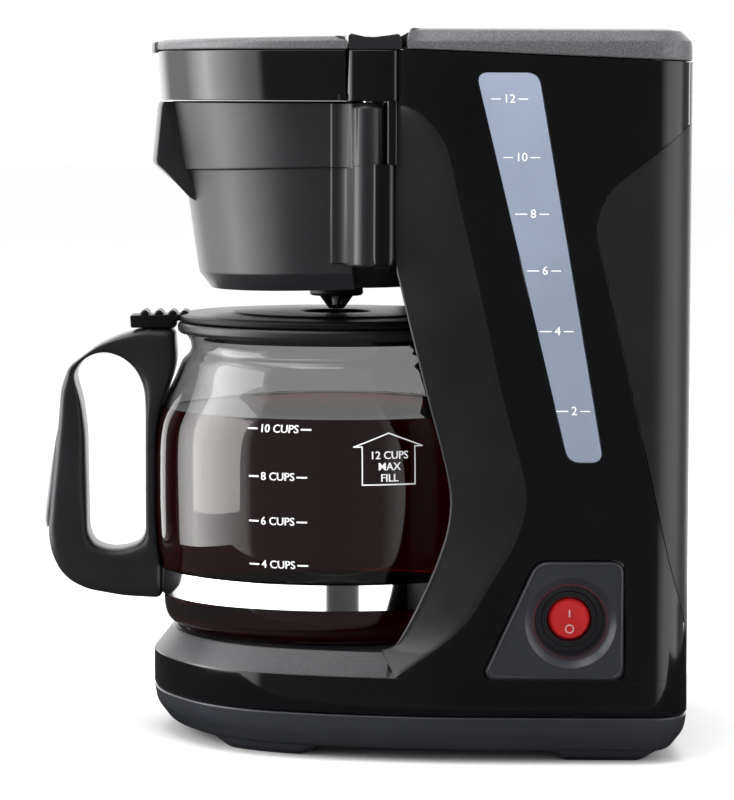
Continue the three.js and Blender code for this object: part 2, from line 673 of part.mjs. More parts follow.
function carafeLid() {
  const disc = turned([
    [3.8, 166], [5.4, 166], [13, 172.9], [56.2, 172.9], [55.6, 166], [57.6, 166], [58.6, 172.9],
    [66, 172.9], [66.2, 175], [65.2, 176], [44.2, 176.2], [43, 177], [14.2, 177], [3.8, 166],
  ], 32);
  const { y, z } = LEVER_AXIS;
  const lever = prism([
    [-58, 173], [-67.4, 172.95], [-68.2, 170.6], [-84.8, 170.4], [-86.4, 171.6], [-86, 174], [-84, 175], [-58, 176],
  ], "x", -9, 9);
  const lug = prism([
    [y + 3.2, 171], [y + 3.2, z - 1.2], [y + 1.2, z - 3], [y - 1.2, z - 3], [y - 3.2, z - 1.2], [y - 3.2, 171],
  ], "x", -5, 5);
  const grips = [-80.5, -74.5, -68.8, -63.7].map((g) => bar(1.7, [-8.6, g, 175.7], [8.6, g, 175.7], 10));
  const bore = bar(1.8, [-12, y, z], [12, y, z], 12);
  return cut(join(disc, lever, lug, ...grips), bore);
}

// Assembly

function buildMachine() {
  const to = (name, finish, solid) => add("machine", name, finish, solid);
  to("base_shell", "gloss", baseShell());
  to("bottom_cover", "slate", bottomCover());
  for (const [side, sign] of [["left", -1], ["right", 1]]) {
    to(`foot_front_${side}`, "rubber", foot(48 * sign, -42, 5));
    to(`foot_rear_${side}`, "rubber", foot(70 * sign, 87, 130));
  }
  SCREW_PLACES.forEach(([x, y], k) => to(`cover_screw_${k + 1}`, "steel", coverScrew(x, y)));
  to("warming_plate", "plate", warmingPlate());
  to("plate_seal", "rubber", ring(PLATE_R + 0.4, PLATE_R + 2.4, RIM_Z - 3, RIM_Z - 0.1, 40));
  to("heater_element", "steel", heaterElement());
  to("heater_clamp", "steel", heaterClamp());
  to("thermostat", "plate", ring(0, 9, 16, 22.2, 14));
  to("thermal_fuse", "silver", bar(2, [14, -16, 20], [14, 16, 20], 8));
  to("terminal_block", "silicone", block(-12, 12, 112, 126, 20, 34));
  to("cord_gland", "rubber", bar(6, [-40, REAR_Y - 12, 27], [-40, REAR_Y - 0.1, 27], 16));
  to("side_panel_right", "gloss", sidePanelRight());
  to("side_panel_left", "gloss", mirrored(sidePanel()));
  to("rear_cover", "satin", rearCover());
  to("tower_front_wall", "satin", towerFrontWall());
  to("basket_bay_wall", "satin", basketBayWall());
  to("head_housing", "gloss", headHousing());
  to("top_cover_front", "textured", topCoverFront());
  to("top_bridge", "satin", topBridge());
  to("lid_pin_left", "steel", lidPin(-1));
  to("lid_pin_right", "steel", lidPin(1));
  to("hinge_column", "gloss", hingeColumn());
  to("latch_column", "gloss", mirrored(headColumn()));
  to("basket_hinge_pin", "steel", hingePin());
  to("water_tank", "tank", waterTank());
  to("water_window", "window", waterWindow());
  to("check_valve", "silicone", checkValve());
  to("inlet_hose", "silicone", inletHose());
  to("riser_tube", "silicone", riserTube());
  to("spray_head", "tank", sprayHead());
  to("switch_bezel", "slate", switchBezel());
  to("switch_body", "satin", switchBody());
}

function buildBasket() {
  const to = (name, finish, solid) => add("brew_basket", name, finish, solid);
  to("basket_holder", "satin", basketHolder());
  to("filter_basket", "satin", filterBasket());
  to("valve_guard", "satin", valveGuard());
  to("valve_cage", "satin", valveCage());
  add("drip_valve", "valve_stem", "silver", valveStem());
  add("drip_valve", "valve_seal", "silicone", valveSeal());
  add("drip_valve", "valve_spring", "steel", valveSpring());
}

function buildCarafe() {
  const to = (name, finish, solid) => add("carafe", name, finish, solid);
  to("carafe_glass", "glass", carafeGlass());
  to("collar_ring", "satin", collarRing());
  to("chrome_band", "chrome", chromeBand());
  to("carafe_handle", "satin", carafeHandle());
  to("handle_strip", "silver", handleStrip());
  to("carafe_lid_pin", "steel", carafeLidPin());
  add("carafe_lid", "carafe_lid", "satin", carafeLid());
}

buildMachine();
add("tank_lid", "tank_lid", "textured", tankLid());
buildBasket();
add("switch_rocker", "switch_rocker", "red", switchRocker());
buildCarafe();

const coffeeMaker = new THREE.Group();
const aboutAxis = new THREE.Group();
aboutAxis.position.y = AXIS_Y;
aboutAxis.add(...Object.values(groups));
coffeeMaker.add(aboutAxis);

export default coffeeMaker;
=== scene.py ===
"""Drip coffee maker: the finished surface of every piece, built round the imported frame.

Shapes are worked out in millimetres about the carafe's upright axis, where the housing's plan is
symmetrical, and are turned into frame metres in one place, MeshMaker.mesh.
"""
import logging
import math
from dataclasses import dataclass, field
from enum import Enum

import bmesh
import bpy
import numpy as np
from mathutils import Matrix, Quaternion, Vector


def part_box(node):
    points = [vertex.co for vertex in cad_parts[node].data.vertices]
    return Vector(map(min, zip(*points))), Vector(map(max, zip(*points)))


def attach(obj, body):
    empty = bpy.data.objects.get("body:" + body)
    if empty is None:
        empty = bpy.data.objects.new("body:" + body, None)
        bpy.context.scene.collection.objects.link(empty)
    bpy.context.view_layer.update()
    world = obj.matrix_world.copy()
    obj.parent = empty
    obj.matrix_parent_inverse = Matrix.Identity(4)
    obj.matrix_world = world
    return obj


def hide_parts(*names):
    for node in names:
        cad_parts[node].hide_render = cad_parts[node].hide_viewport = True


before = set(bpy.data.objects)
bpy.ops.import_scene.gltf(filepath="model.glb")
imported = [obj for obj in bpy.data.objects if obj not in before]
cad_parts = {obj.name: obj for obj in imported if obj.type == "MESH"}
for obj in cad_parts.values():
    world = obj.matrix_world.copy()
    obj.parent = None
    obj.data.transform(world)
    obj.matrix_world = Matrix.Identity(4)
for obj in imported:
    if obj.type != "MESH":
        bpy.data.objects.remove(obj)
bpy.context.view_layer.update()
LOG = logging.getLogger("coffee_maker")

MM = 0.001
AXIS_Y = (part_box("carafe_glass")[0].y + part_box("carafe_glass")[1].y) / 2
BAND_LIGHT = "band_only"

Array = np.ndarray
Pair = tuple[float, float]


class Side(Enum):
    """The two sides of the machine: the switch and the level window are on the right."""

    RIGHT = 1
    LEFT = -1


# ---------------------------------------------------------------- shader maths


class Value:
    """A number socket whose arithmetic adds Math nodes."""

    def __init__(self, tree: "Tree", socket: bpy.types.NodeSocket) -> None:
        """Wraps one output socket of a tree."""
        self.tree = tree
        self.socket = socket

    def _math(self, operation: str, first: "float | Value", second: "float | Value") -> "Value":
        """Adds one Math node.

        Args:
            operation: the Math node's operation.
            first: its first value or socket.
            second: its second value or socket.

        Returns:
            The node's output.
        """
        return self.tree.node("ShaderNodeMath", {"operation": operation}, {0: first, 1: second})

    def __add__(self, other: "float | Value") -> "Value":
        """self + other."""
        return self._math("ADD", self, other)

    def __mul__(self, other: "float | Value") -> "Value":
        """self * other."""
        return self._math("MULTIPLY", self, other)

    __radd__ = __add__
    __rmul__ = __mul__


class Tree:
    """The node tree of a material, with its shader and output, or of the world."""

    def __init__(self, owner: "bpy.types.Material | bpy.types.World") -> None:
        """Takes over the owner's own nodes."""
        owner.use_nodes = True
        self.owner = owner
        self.nodes = owner.node_tree.nodes
        self.links = owner.node_tree.links
        self.shader = next((n for n in self.nodes if n.type == "BSDF_PRINCIPLED"), None)
        self.output = next((n for n in self.nodes if n.type == "OUTPUT_MATERIAL"), None)

    def node(self, kind: str, settings: dict, inputs: dict, output: "int | str" = 0) -> Value:
        """Adds a node.

        Args:
            kind: the node's type.
            settings: its own settings, set before its sockets; "stops" fills a colour ramp.
            inputs: socket name or number to a value or a Value.
            output: the output socket that is wanted.

        Returns:
            That output, wrapped.
        """
        made = self.nodes.new(kind)
        for key, value in settings.items():
            if key == "stops":
                ramp = made.color_ramp.elements
                while len(ramp) < len(value):
                    ramp.new(0.5)
                for stop, (place, colour) in zip(ramp, value):
                    stop.position = place
                    stop.color = (*colour, 1.0)
            else:
                setattr(made, key, value)
        for key, value in inputs.items():
            if isinstance(value, Value):
                self.links.new(value.socket, made.inputs[key])
            else:
                made.inputs[key].default_value = value
        return Value(self, made.outputs[output])

    def place(self) -> Value:
        """The point on the piece, in metres."""
        return self.node("ShaderNodeTexCoord", {}, {}, "Object")

    def noise(self, scale: float, detail: float = 3.0, place: "Value | None" = None) -> Value:
        """Noise of the given scale per metre."""
        where = place or self.place()
        return self.node("ShaderNodeTexNoise", {}, {"Vector": where, "Scale": scale, "Detail": detail})

    def ramp(self, factor: Value, stops: list) -> Value:
        """A colour ramp over a factor."""
        return self.node("ShaderNodeValToRGB", {"stops": stops}, {"Fac": factor})

    def feed(self, name: str, value: "Value | float | tuple") -> None:
        """Sets or links one input of the shader."""
        if isinstance(value, Value):
            self.links.new(value.socket, self.shader.inputs[name])
        else:
            self.shader.inputs[name].default_value = value

    def bump(self, height: Value, distance: float, strength: float) -> None:
        """Feeds the shader's normal from a height."""
        inputs = {"Height": height, "Distance": distance, "Strength": strength}
        self.feed("Normal", self.node("ShaderNodeBump", {}, inputs, "Normal"))


# ---------------------------------------------------------------- finishes


@dataclass(frozen=True)
class Moulded:
    """Moulded plastic or rubber: an even colour with faint clouding and a surface grain."""

    name: str
    colour: tuple
    roughness: float
    clouding: float = 0.15
    grain: float = 1500.0
    grain_mm: float = 0.01
    strength: float = 0.2
    specular: float = 0.5
    sparkle: float = 0.0

    def build(self) -> bpy.types.Material:
        """Makes the material.

        Returns:
            A material whose colour, roughness and relief vary a little over the piece.
        """
        tree = Tree(bpy.data.materials.new(self.name))
        cloud = tree.noise(28.0, 4.0)
        low = tuple(c * (1 - self.clouding) for c in self.colour)
        high = tuple(c * (1 + self.clouding) for c in self.colour)
        stops = [(0.35, low), (0.65, high)]
        grain = tree.noise(self.grain, 2.0)
        if self.sparkle:
            bright = tuple(min(1.0, c + self.sparkle) for c in self.colour)
            tree.feed("Base Color", tree.ramp(grain, [(0.38, low), (0.52, high), (0.66, bright)]))
        else:
            tree.feed("Base Color", tree.ramp(cloud, stops))
        spread = 0.25 * self.roughness
        tree.feed("Roughness", cloud * spread + (self.roughness - spread / 2))
        tree.feed("Specular IOR Level", self.specular)
        tree.bump(grain, self.grain_mm * MM, self.strength)
        return tree.owner


@dataclass(frozen=True)
class Metal:
    """Plated or brushed metal."""

    name: str
    colour: tuple
    roughness: float
    brushed: float = 0.0

    def build(self) -> bpy.types.Material:
        """Makes the material."""
        tree = Tree(bpy.data.materials.new(self.name))
        cloud = tree.noise(60.0, 3.0)
        tree.feed("Base Color", (*self.colour, 1.0))
        tree.feed("Metallic", 1.0)
        tree.feed("Roughness", cloud * (0.3 * self.roughness) + 0.85 * self.roughness)
        if self.brushed:
            stretch = tree.node(
                "ShaderNodeMapping", {}, {"Vector": tree.place(), "Scale": (1.0, 1.0, 60.0)}
            )
            tree.bump(tree.noise(120.0, 2.0, stretch), 0.02 * MM, self.brushed)
        return tree.owner


@dataclass(frozen=True)
class Clear:
    """Glass or a clear liquid, with what it takes from the light on the way through."""

    name: str
    ior: float
    roughness: float = 0.0
    tint: tuple = (1.0, 1.0, 1.0)
    absorb: tuple = (1.0, 1.0, 1.0)
    density: float = 0.0

    def build(self) -> bpy.types.Material:
        """Makes the material."""
        tree = Tree(bpy.data.materials.new(self.name))
        tree.feed("Base Color", (*self.tint, 1.0))
        tree.feed("Transmission Weight", 1.0)
        tree.feed("IOR", self.ior)
        if self.roughness:
            tree.feed("Roughness", tree.noise(90.0) * self.roughness)
        else:
            tree.feed("Roughness", 0.0)
        if self.density:
            inputs = {"Color": (*self.absorb, 1.0), "Density": self.density}
            volume = tree.node("ShaderNodeVolumeAbsorption", {}, inputs)
            tree.links.new(volume.socket, tree.output.inputs["Volume"])
        return tree.owner


@dataclass(frozen=True)
class Lit:
    """Coloured plastic with a painted glow: its emission stands in for light it catches, with no lamp
    behind it.
    """

    name: str
    colour: tuple
    roughness: float
    glow: float
    scale: float = 60.0
    # rise: how much lighter the colour is painted per metre of height, a painted shade gradient
    rise: float = 0.0
    lift: float = 0.2

    def build(self) -> bpy.types.Material:
        """Makes the material."""
        tree = Tree(bpy.data.materials.new(self.name))
        height = tree.node("ShaderNodeSeparateXYZ", {}, {0: tree.place()}, "Z")
        # painted shade: height * rise makes the colour lighter towards the top, standing in for how light
        # falls
        cloud = tree.noise(self.scale, 3.0) * 0.6 + height * self.rise + self.lift
        low = tuple(0.72 * c for c in self.colour)
        high = tuple(min(1.0, 1.1 * c) for c in self.colour)
        colour = tree.ramp(cloud, [(0.3, low), (0.7, high)])
        tree.feed("Base Color", colour)
        tree.feed("Roughness", cloud * 0.1 + self.roughness)
        # painted glow: the colour is emitted as well, painted light from a piece that holds no lamp
        tree.feed("Emission Color", colour)
        tree.feed("Emission Strength", self.glow)
        tree.bump(tree.noise(900.0), 0.01 * MM, 0.1)
        return tree.owner


GLOSS = Moulded("gloss_black", (0.0035, 0.0035, 0.004), 0.06, 0.1, 40.0, 0.004, 0.02)
FACET = Moulded("facet_satin", (0.0085, 0.0085, 0.0095), 0.40, 0.15, 2600.0, 0.02, 0.18)
SATIN = Moulded("satin_black", (0.011, 0.0115, 0.013), 0.40, 0.15, 2400.0, 0.015, 0.12)
LID_BLACK = Moulded("lid_black", (0.0055, 0.0055, 0.006), 0.42, 0.15, 2400.0, 0.02, 0.12, 0.16)
REAR = Moulded("rear_satin", (0.010, 0.010, 0.0112), 0.34, 0.12, 2400.0, 0.015, 0.12)
TEXTURED = Moulded("textured_grey", (0.075, 0.076, 0.08), 0.46, 0.15, 1500.0, 0.08, 0.4, 0.6, 0.05)
CHAMFER = Moulded("textured_dark", (0.020, 0.0205, 0.023), 0.42, 0.2, 1600.0, 0.07, 0.4, 0.5, 0.02)
SLATE = Moulded("slate", (0.022, 0.023, 0.028), 0.34, 0.1, 2500.0, 0.015, 0.12)
RUBBER = Moulded("foot_rubber", (0.012, 0.013, 0.015), 0.7, 0.2, 1800.0, 0.05, 0.3)
COATED = Moulded("coated_plate", (0.012, 0.012, 0.014), 0.3, 0.3, 3000.0, 0.03, 0.3)
TANK = Moulded("tank_clear", (0.45, 0.52, 0.56), 0.35, 0.06, 700.0, 0.02, 0.1)
SILICONE = Moulded("silicone", (0.55, 0.55, 0.52), 0.5, 0.08, 800.0, 0.03, 0.15)
SILVER = Moulded("silver_trim", (0.50, 0.51, 0.53), 0.32, 0.05, 2600.0, 0.02, 0.1)
PRINT = Moulded("white_print", (0.86, 0.87, 0.88), 0.5, 0.02, 2500.0, 0.01, 0.05)
MARK = Moulded("rocker_print", (0.75, 0.42, 0.42), 0.5, 0.02, 2500.0, 0.01, 0.05)
CHROME = Metal("chrome", (0.80, 0.80, 0.81), 0.08)
STEEL = Metal("steel", (0.42, 0.42, 0.43), 0.3, 0.1)
GLASS = Clear("clear_glass", 1.46, 0.012, (0.985, 0.995, 0.99))
COFFEE = Clear("coffee", 1.33, 0.0, (1.0, 0.93, 0.90), (0.78, 0.10, 0.04), 115.0)
# painted light: both glow by emission, and the window's rise paints it lighter towards its top
WINDOW = Lit("window_blue", (0.24, 0.285, 0.37), 0.30, 0.20, 14.0, 2.2, -0.32)
ROCKER = Lit("rocker_red", (0.50, 0.012, 0.014), 0.18, 0.12, 90.0)


class Palette:
    """Builds each finish once."""

    made: dict = {}

    @classmethod
    def of(cls, finish: "Moulded | Metal | Clear | Lit") -> bpy.types.Material:
        """The material of a finish, made on first use."""
        if finish.name not in cls.made:
            cls.made[finish.name] = finish.build()
        return cls.made[finish.name]


# ---------------------------------------------------------------- curves and plans


def spline(points: list, u: Array) -> Array:
    """A Catmull-Rom curve through the points.

    Each stretch is the cubic whose slope at a point is half the step between its neighbours.

    Args:
        points: the points to pass through.
        u: shares of the whole curve, 0 to 1.

    Returns:
        One row per share.
    """
    p = np.asarray(points, float)
    t = np.clip(u, 0, 1) * (len(p) - 1)
    i = np.minimum(t.astype(int), len(p) - 2)
    w = (t - i)[:, None]
    p0, p1 = p[np.maximum(i - 1, 0)], p[i]
    p2, p3 = p[i + 1], p[np.minimum(i + 2, len(p) - 1)]
    v0, v1 = (p2 - p0) / 2, (p3 - p1) / 2
    cubic = (2 * p1 - 2 * p2 + v0 + v1) * w**3 + (-3 * p1 + 3 * p2 - 2 * v0 - v1) * w**2
    return cubic + v0 * w + p1


def smoothed(points: Array, rounds: int) -> Array:
    """An open line eased by averaging each point with its neighbours, its ends held."""
    p = points.copy()
    for _ in range(rounds):
        p[1:-1] = 0.25 * p[:-2] + 0.5 * p[1:-1] + 0.25 * p[2:]
    return p


def inward(loop: Array) -> Array:
    """Unit normals of a closed counter-clockwise loop, pointing into it."""
    along = np.roll(loop, -1, 0) - np.roll(loop, 1, 0)
    along /= np.linalg.norm(along, axis=1)[:, None] + 1e-12
    return np.stack([-along[:, 1], along[:, 0]], 1)


def drawn_in(loop: Array, inset: float) -> Array:
    """A closed loop moved into itself by `inset`."""
    return loop + inset * inward(loop)


def segment(a: Pair, b: Pair, count: int) -> Array:
    """Points from a towards b, without b."""
    w = np.linspace(0, 1, count, endpoint=False)[:, None]
    return np.asarray(a) * (1 - w) + np.asarray(b) * w


def rounded(corners: list, radius: float, steps: int = 8) -> Array:
    """A polygon with round corners.

    Each corner becomes a quadratic curve between points that lie `radius` before and after it.

    Args:
        corners: the polygon's corners in order.
        radius: how far from a corner its round starts.
        steps: points to a corner.

    Returns:
        The closed outline, dense on its straight sides too.
    """
    p = np.asarray(corners, float)
    out = []
    for k in range(len(p)):
        before, here, after = p[k - 1], p[k], p[(k + 1) % len(p)]
        reach = min(radius, np.linalg.norm(before - here) / 2.2, np.linalg.norm(after - here) / 2.2)
        a = here + (before - here) / np.linalg.norm(before - here) * reach
        b = here + (after - here) / np.linalg.norm(after - here) * reach
        w = np.linspace(0, 1, steps)[:, None]
        out.append((1 - w) ** 2 * a + 2 * w * (1 - w) * here + w**2 * b)
        nxt = p[(k + 1) % len(p)]
        far = p[(k + 2) % len(p)]
        reach2 = min(radius, np.linalg.norm(here - nxt) / 2.2, np.linalg.norm(far - nxt) / 2.2)
        c = nxt + (here - nxt) / np.linalg.norm(here - nxt) * reach2
        out.append(segment(b, c, 7)[1:])
    return np.concatenate(out)


@dataclass
class HousingPlan:
    """The plan of the housing: a round front, flat sides and a back with round corners."""

    half_width: float = 95.0
    rear: float = 143.0
    corner: float = 18.0
    front: tuple = (
        (0, -76.8), (20, -73.9), (38, -66.8), (60, -52.8), (77, -31),
        (86.4, -3.6), (91.2, 20), (94.3, 43), (95, 62),
    )
    dense: Array = field(init=False)

    def __post_init__(self) -> None:
        """Works out the front as one dense line from the left side to the right."""
        right = np.asarray(self.front, float)
        left = right[:0:-1] * (-1, 1)
        line = spline(np.concatenate([left, right]), np.linspace(0, 1, 481))
        self.dense = smoothed(line, 60)

    def front_line(self, until_y: float, count: int) -> Array:
        """The front from y on the left to y on the right, evenly spaced.

        Args:
            until_y: where the line stops on both sides.
            count: how many points.

        Returns:
            The points, left to right.
        """
        right = self.dense[240:]
        stop = np.interp(until_y, right[:, 1], np.arange(240, 481))
        return self.sample(480 - stop, stop, count)

    def sample(self, first: float, last: float, count: int) -> Array:
        """Points between two places on the dense front line."""
        place = np.linspace(first, last, count)
        steps = np.arange(481)
        return np.stack([np.interp(place, steps, self.dense[:, k]) for k in (0, 1)], 1)

    def side_table(self) -> tuple:
        """Lengths along the right side of the plan, and the y that lies at each."""
        flat = np.linspace(-60, self.rear - self.corner, 400)
        turn = np.linspace(0, math.pi / 2, 80)[1:-2]
        y = np.concatenate([flat, self.rear - self.corner + self.corner * np.sin(turn)])
        step = np.hypot(np.diff(y), np.diff(self.width_at(y)))
        return np.concatenate([[0], np.cumsum(step)]), y

    def width_at(self, y: Array) -> Array:
        """Half of the housing's width at each y, round corners and all."""
        right = self.dense[240:]
        flat = np.interp(y, right[:, 1], right[:, 0])
        past = np.clip((np.asarray(y, float) - (self.rear - self.corner)) / self.corner, 0, 1)
        return flat - self.corner * (1 - np.sqrt(1 - past**2))

    def rear_arc(self, steps: int = 14) -> Array:
        """The back from its right corner to its left one."""
        angle = np.linspace(0, math.pi / 2, steps)
        x = self.half_width - self.corner + self.corner * np.cos(angle)
        y = self.rear - self.corner + self.corner * np.sin(angle)
        right = np.stack([x, y], 1)
        middle = segment((right[-1, 0], self.rear), (-right[-1, 0], self.rear), 24)[1:]
        return np.concatenate([right, middle, right[::-1] * (-1, 1)])

    def whole(self) -> Array:
        """The closed plan, counter-clockwise from the left."""
        line = self.front_line(61.5, 200)
        side = segment((self.half_width, 64), (self.half_width, self.rear - self.corner), 14)
        return np.concatenate([line, side, self.rear_arc(), side[::-1] * (-1, 1)])


PLAN = HousingPlan()


# ---------------------------------------------------------------- meshes


class MeshMaker:
    """Gathers patches of one piece and makes its Blender object."""

    def __init__(self, name: str) -> None:
        """Starts an empty piece."""
        self.name = name
        self.points: list[Array] = []
        self.faces: list[list] = []
        self.slots: list[int] = []
        self.count = 0

    def patch(self, points: Array, faces: list, slot: "int | Array" = 0) -> None:
        """Adds points in millimetres and the faces over them."""
        points = np.asarray(points, float).reshape(-1, 3)
        self.points.append(points)
        self.faces += [[int(i) + self.count for i in face] for face in faces]
        self.slots += [int(s) for s in np.broadcast_to(slot, len(faces))]
        self.count += len(points)

    def grid(self, rows: Array, round_columns: bool = False, slot: "int | Array" = 0,
             ends: bool = False) -> None:
        """Adds a grid of points joined by quads.

        Args:
            rows: an array of rows, columns and three coordinates.
            round_columns: whether the last column joins the first.
            slot: the material slot, one for all or one per column.
            ends: whether each end row closes on its own middle point.
        """
        n, m = rows.shape[:2]
        at = np.arange(n * m).reshape(n, m)
        if round_columns:
            at = np.concatenate([at, at[:, :1]], 1)
        quads = np.stack([at[:-1, :-1], at[:-1, 1:], at[1:, 1:], at[1:, :-1]], -1)
        kinds = np.broadcast_to(slot, quads.shape[:2]) if np.ndim(slot) else slot
        self.patch(rows, quads.reshape(-1, 4).tolist(), np.ravel(kinds) if np.ndim(kinds) else kinds)
        if ends:
            for row, turn in ((rows[0], 1), (rows[-1], -1)):
                middle = row.mean(0)[None]
                k = np.arange(m)
                fan = np.stack([k, np.full(m, m), (k + 1) % m][::turn], 1)
                edge_slot = int(np.ravel(slot)[0])
                self.patch(np.concatenate([row, middle]), fan.tolist(), edge_slot)

    def mesh(self, merge: float, sliver: float = 0.0) -> bpy.types.Mesh:
        """The gathered patches as one mesh in frame metres, its faces turned outward.

        Args:
            merge: how near two points are one, in metres.
            sliver: the longest edge of a face that is dropped, in metres.

        Returns:
            The mesh.
        """
        points = np.concatenate(self.points) * MM + (0.0, AXIS_Y, 0.0)
        mesh = bpy.data.meshes.new(self.name)
        mesh.from_pydata(points.tolist(), [], self.faces)
        mesh.polygons.foreach_set("material_index", np.asarray(self.slots, np.int32))
        work = bmesh.new()
        work.from_mesh(mesh)
        bmesh.ops.remove_doubles(work, verts=work.verts, dist=merge)
        if sliver:
            bmesh.ops.dissolve_degenerate(work, edges=work.edges, dist=sliver)
        bmesh.ops.recalc_face_normals(work, faces=work.faces)
        work.to_mesh(mesh)
        work.free()
        return mesh

    def finish(self, body: str, finishes: list, replaces: tuple = (), slot: str = "",
               sharp: float = 32.0, merge: float = 2e-6) -> bpy.types.Object:
        """Makes the object, hangs it on its body and hides the CAD nodes that it replaces.

        Args:
            body: the moving body that it rides on.
            finishes: one finish per material slot.
            replaces: the CAD nodes that it stands for.
            slot: not used.
            sharp: the angle in degrees past which an edge stays sharp.
            merge: how near two points are one, in metres.

        Returns:
            The new object, with its place in its mesh.
        """
        mesh = self.mesh(merge, 1e-7)
        mesh.polygons.foreach_set("use_smooth", [True] * len(mesh.polygons))
        mesh.set_sharp_from_angle(angle=math.radians(sharp))
        for finish in finishes:
            mesh.materials.append(Palette.of(finish))
        piece = bpy.data.objects.new(self.name, mesh)
        bpy.context.scene.collection.objects.link(piece)
        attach(piece, body)
        if replaces:
            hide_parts(*replaces)
        LOG.info("%s: %d faces on %s", self.name, len(mesh.polygons), body)
        return piece


def once_round(count: int) -> Array:
    """Angles once round, evenly spaced, the last short of the first."""
    return np.linspace(0, 2 * math.pi, count, endpoint=False)


def swollen(wave: Array, power: float) -> Array:
    """A wave between -1 and 1 filled out by a power under 1, its sign kept."""
    return np.sign(wave) * np.abs(wave) ** power


def lift(loop: Array, z: "float | Array") -> Array:
    """A plan loop at a height, or at one height per point."""
    return np.column_stack([loop, np.broadcast_to(z, len(loop))])


def turned(profile: list, steps: int = 96, centre: Pair = (0.0, 0.0)) -> Array:
    """A profile of radius and height turned about an upright line: x = r cos a, y = r sin a."""
    p = np.asarray(profile, float)
    angle = once_round(steps)
    x = centre[0] + p[:, :1] * np.cos(angle)
    y = centre[1] + p[:, :1] * np.sin(angle)
    return np.stack([x, y, np.broadcast_to(p[:, 1:], x.shape)], -1)


def eased(profile: list, radius: float, steps: int = 5) -> list:
    """An open profile with its inner corners rounded, its two ends kept."""
    p = np.asarray(profile, float)
    out = [p[0]]
    for before, here, after in zip(p[:-2], p[1:-1], p[2:]):
        step_in, step_out = here - before, after - here
        d_in, d_out = np.linalg.norm(step_in), np.linalg.norm(step_out)
        reach = min(radius, d_in / 2.1, d_out / 2.1)
        a, b = here - step_in / d_in * reach, here + step_out / d_out * reach
        w = np.linspace(0, 1, steps)[:, None]
        out.extend((1 - w) ** 2 * a + 2 * w * (1 - w) * here + w**2 * b)
    return [*out, p[-1]]


def shelled(loop: Array, profile: list) -> Array:
    """A closed loop drawn in and lifted by each pair of inset and height, as a grid of rings."""
    return np.stack([lift(drawn_in(loop, inset), z) for inset, z in profile])


def closing(ring: Array, count: int, rise: float = 0.0) -> Array:
    """Rings that shrink evenly from a ring to its middle, domed by `rise`."""
    middle = ring.mean(0)
    share = np.linspace(0, 0.97, count)[1:, None, None]
    rings = ring[None] * (1 - share) + middle * share
    rings[:, :, 2] += rise * (1 - (1 - share[:, :, 0]) ** 2)
    return rings


def bar(centre: tuple, radius: float, x0: float, x1: float, ease: float = 0.4, steps: int = 24) -> Array:
    """A round bar along X with eased ends, as a grid of rings."""
    angle = once_round(steps)
    stations = [(x0, radius - ease), (x0 + ease, radius), (x1 - ease, radius), (x1, radius - ease)]
    rings = [
        np.stack([np.full(steps, x), centre[0] + r * np.cos(angle), centre[1] + r * np.sin(angle)], 1)
        for x, r in stations
    ]
    return np.stack(rings)


def slab_x(outline: Array, x0: "float | Array", x1: "float | Array", ease: float) -> Array:
    """A side-view outline carried along X, its rims eased by `ease`.

    Args:
        outline: closed points (y, z), counter-clockwise.
        x0: the low side, one value or one per point.
        x1: the high side.
        ease: how much the outline shrinks at both rims.

    Returns:
        A grid of rings from x0 to x1.
    """
    stations = [(0.0, ease), (0.3 * ease, 0.3 * ease), (ease, 0.0)]
    rings = []
    for step, inset in stations:
        ring = drawn_in(outline, inset)
        rings.append(np.column_stack([np.broadcast_to(x0, len(ring)) + step, ring]))
    for step, inset in reversed(stations):
        ring = drawn_in(outline, inset)
        rings.append(np.column_stack([np.broadcast_to(x1, len(ring)) - step, ring]))
    return np.stack(rings)


def cut_with(piece: bpy.types.Object, cutters: list) -> None:
    """Takes closed cutter shapes out of a piece and bakes the result into its mesh.

    Args:
        piece: the piece to cut.
        cutters: grids of rings in millimetres, each closed at its ends.
    """
    for k, rings in enumerate(cutters):
        maker = MeshMaker(f"cutter_{k}")
        maker.grid(rings, True, 0, True)
        cutter = bpy.data.objects.new(maker.name, maker.mesh(1e-6))
        bpy.context.scene.collection.objects.link(cutter)
        change = piece.modifiers.new("cut", "BOOLEAN")
        change.operation = "DIFFERENCE"
        change.solver = "EXACT"
        change.object = cutter
        bpy.context.view_layer.update()
        ready = piece.evaluated_get(bpy.context.evaluated_depsgraph_get())
        baked = bpy.data.meshes.new_from_object(ready)
        piece.modifiers.clear()
        old = piece.data
        piece.data = baked
        bpy.data.meshes.remove(old)
        bpy.data.objects.remove(cutter)
    piece.data.set_sharp_from_angle(angle=math.radians(32))


def dress(node: str, finish: "Moulded | Metal | Clear | Lit") -> None:
    """Gives a CAD node that stays its material."""
    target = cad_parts[node]
    target.data.materials.clear()
    target.data.materials.append(Palette.of(finish))


def lettering(text: str, height: float) -> tuple:
    """Flat lettering as a mesh: points (across, up) in millimetres about its middle, and faces.

    Args:
        text: what it says.
        height: the height of a capital.

    Returns:
        The points and the faces.
    """
    curve = bpy.data.curves.new("lettering", "FONT")
    curve.body = text
    curve.align_x, curve.align_y = "CENTER", "CENTER"
    curve.size = height / 0.72
    curve.offset = 0.006 * height
    curve.resolution_u = 3
    holder = bpy.data.objects.new("lettering", curve)
    bpy.context.scene.collection.objects.link(holder)
    bpy.context.view_layer.update()
    mesh = bpy.data.meshes.new_from_object(holder.evaluated_get(bpy.context.evaluated_depsgraph_get()))
    points = np.zeros(len(mesh.vertices) * 3)
    mesh.vertices.foreach_get("co", points)
    faces = [list(p.vertices) for p in mesh.polygons]
    bpy.data.objects.remove(holder)
    bpy.data.meshes.remove(mesh)
    return points.reshape(-1, 3)[:, :2], faces


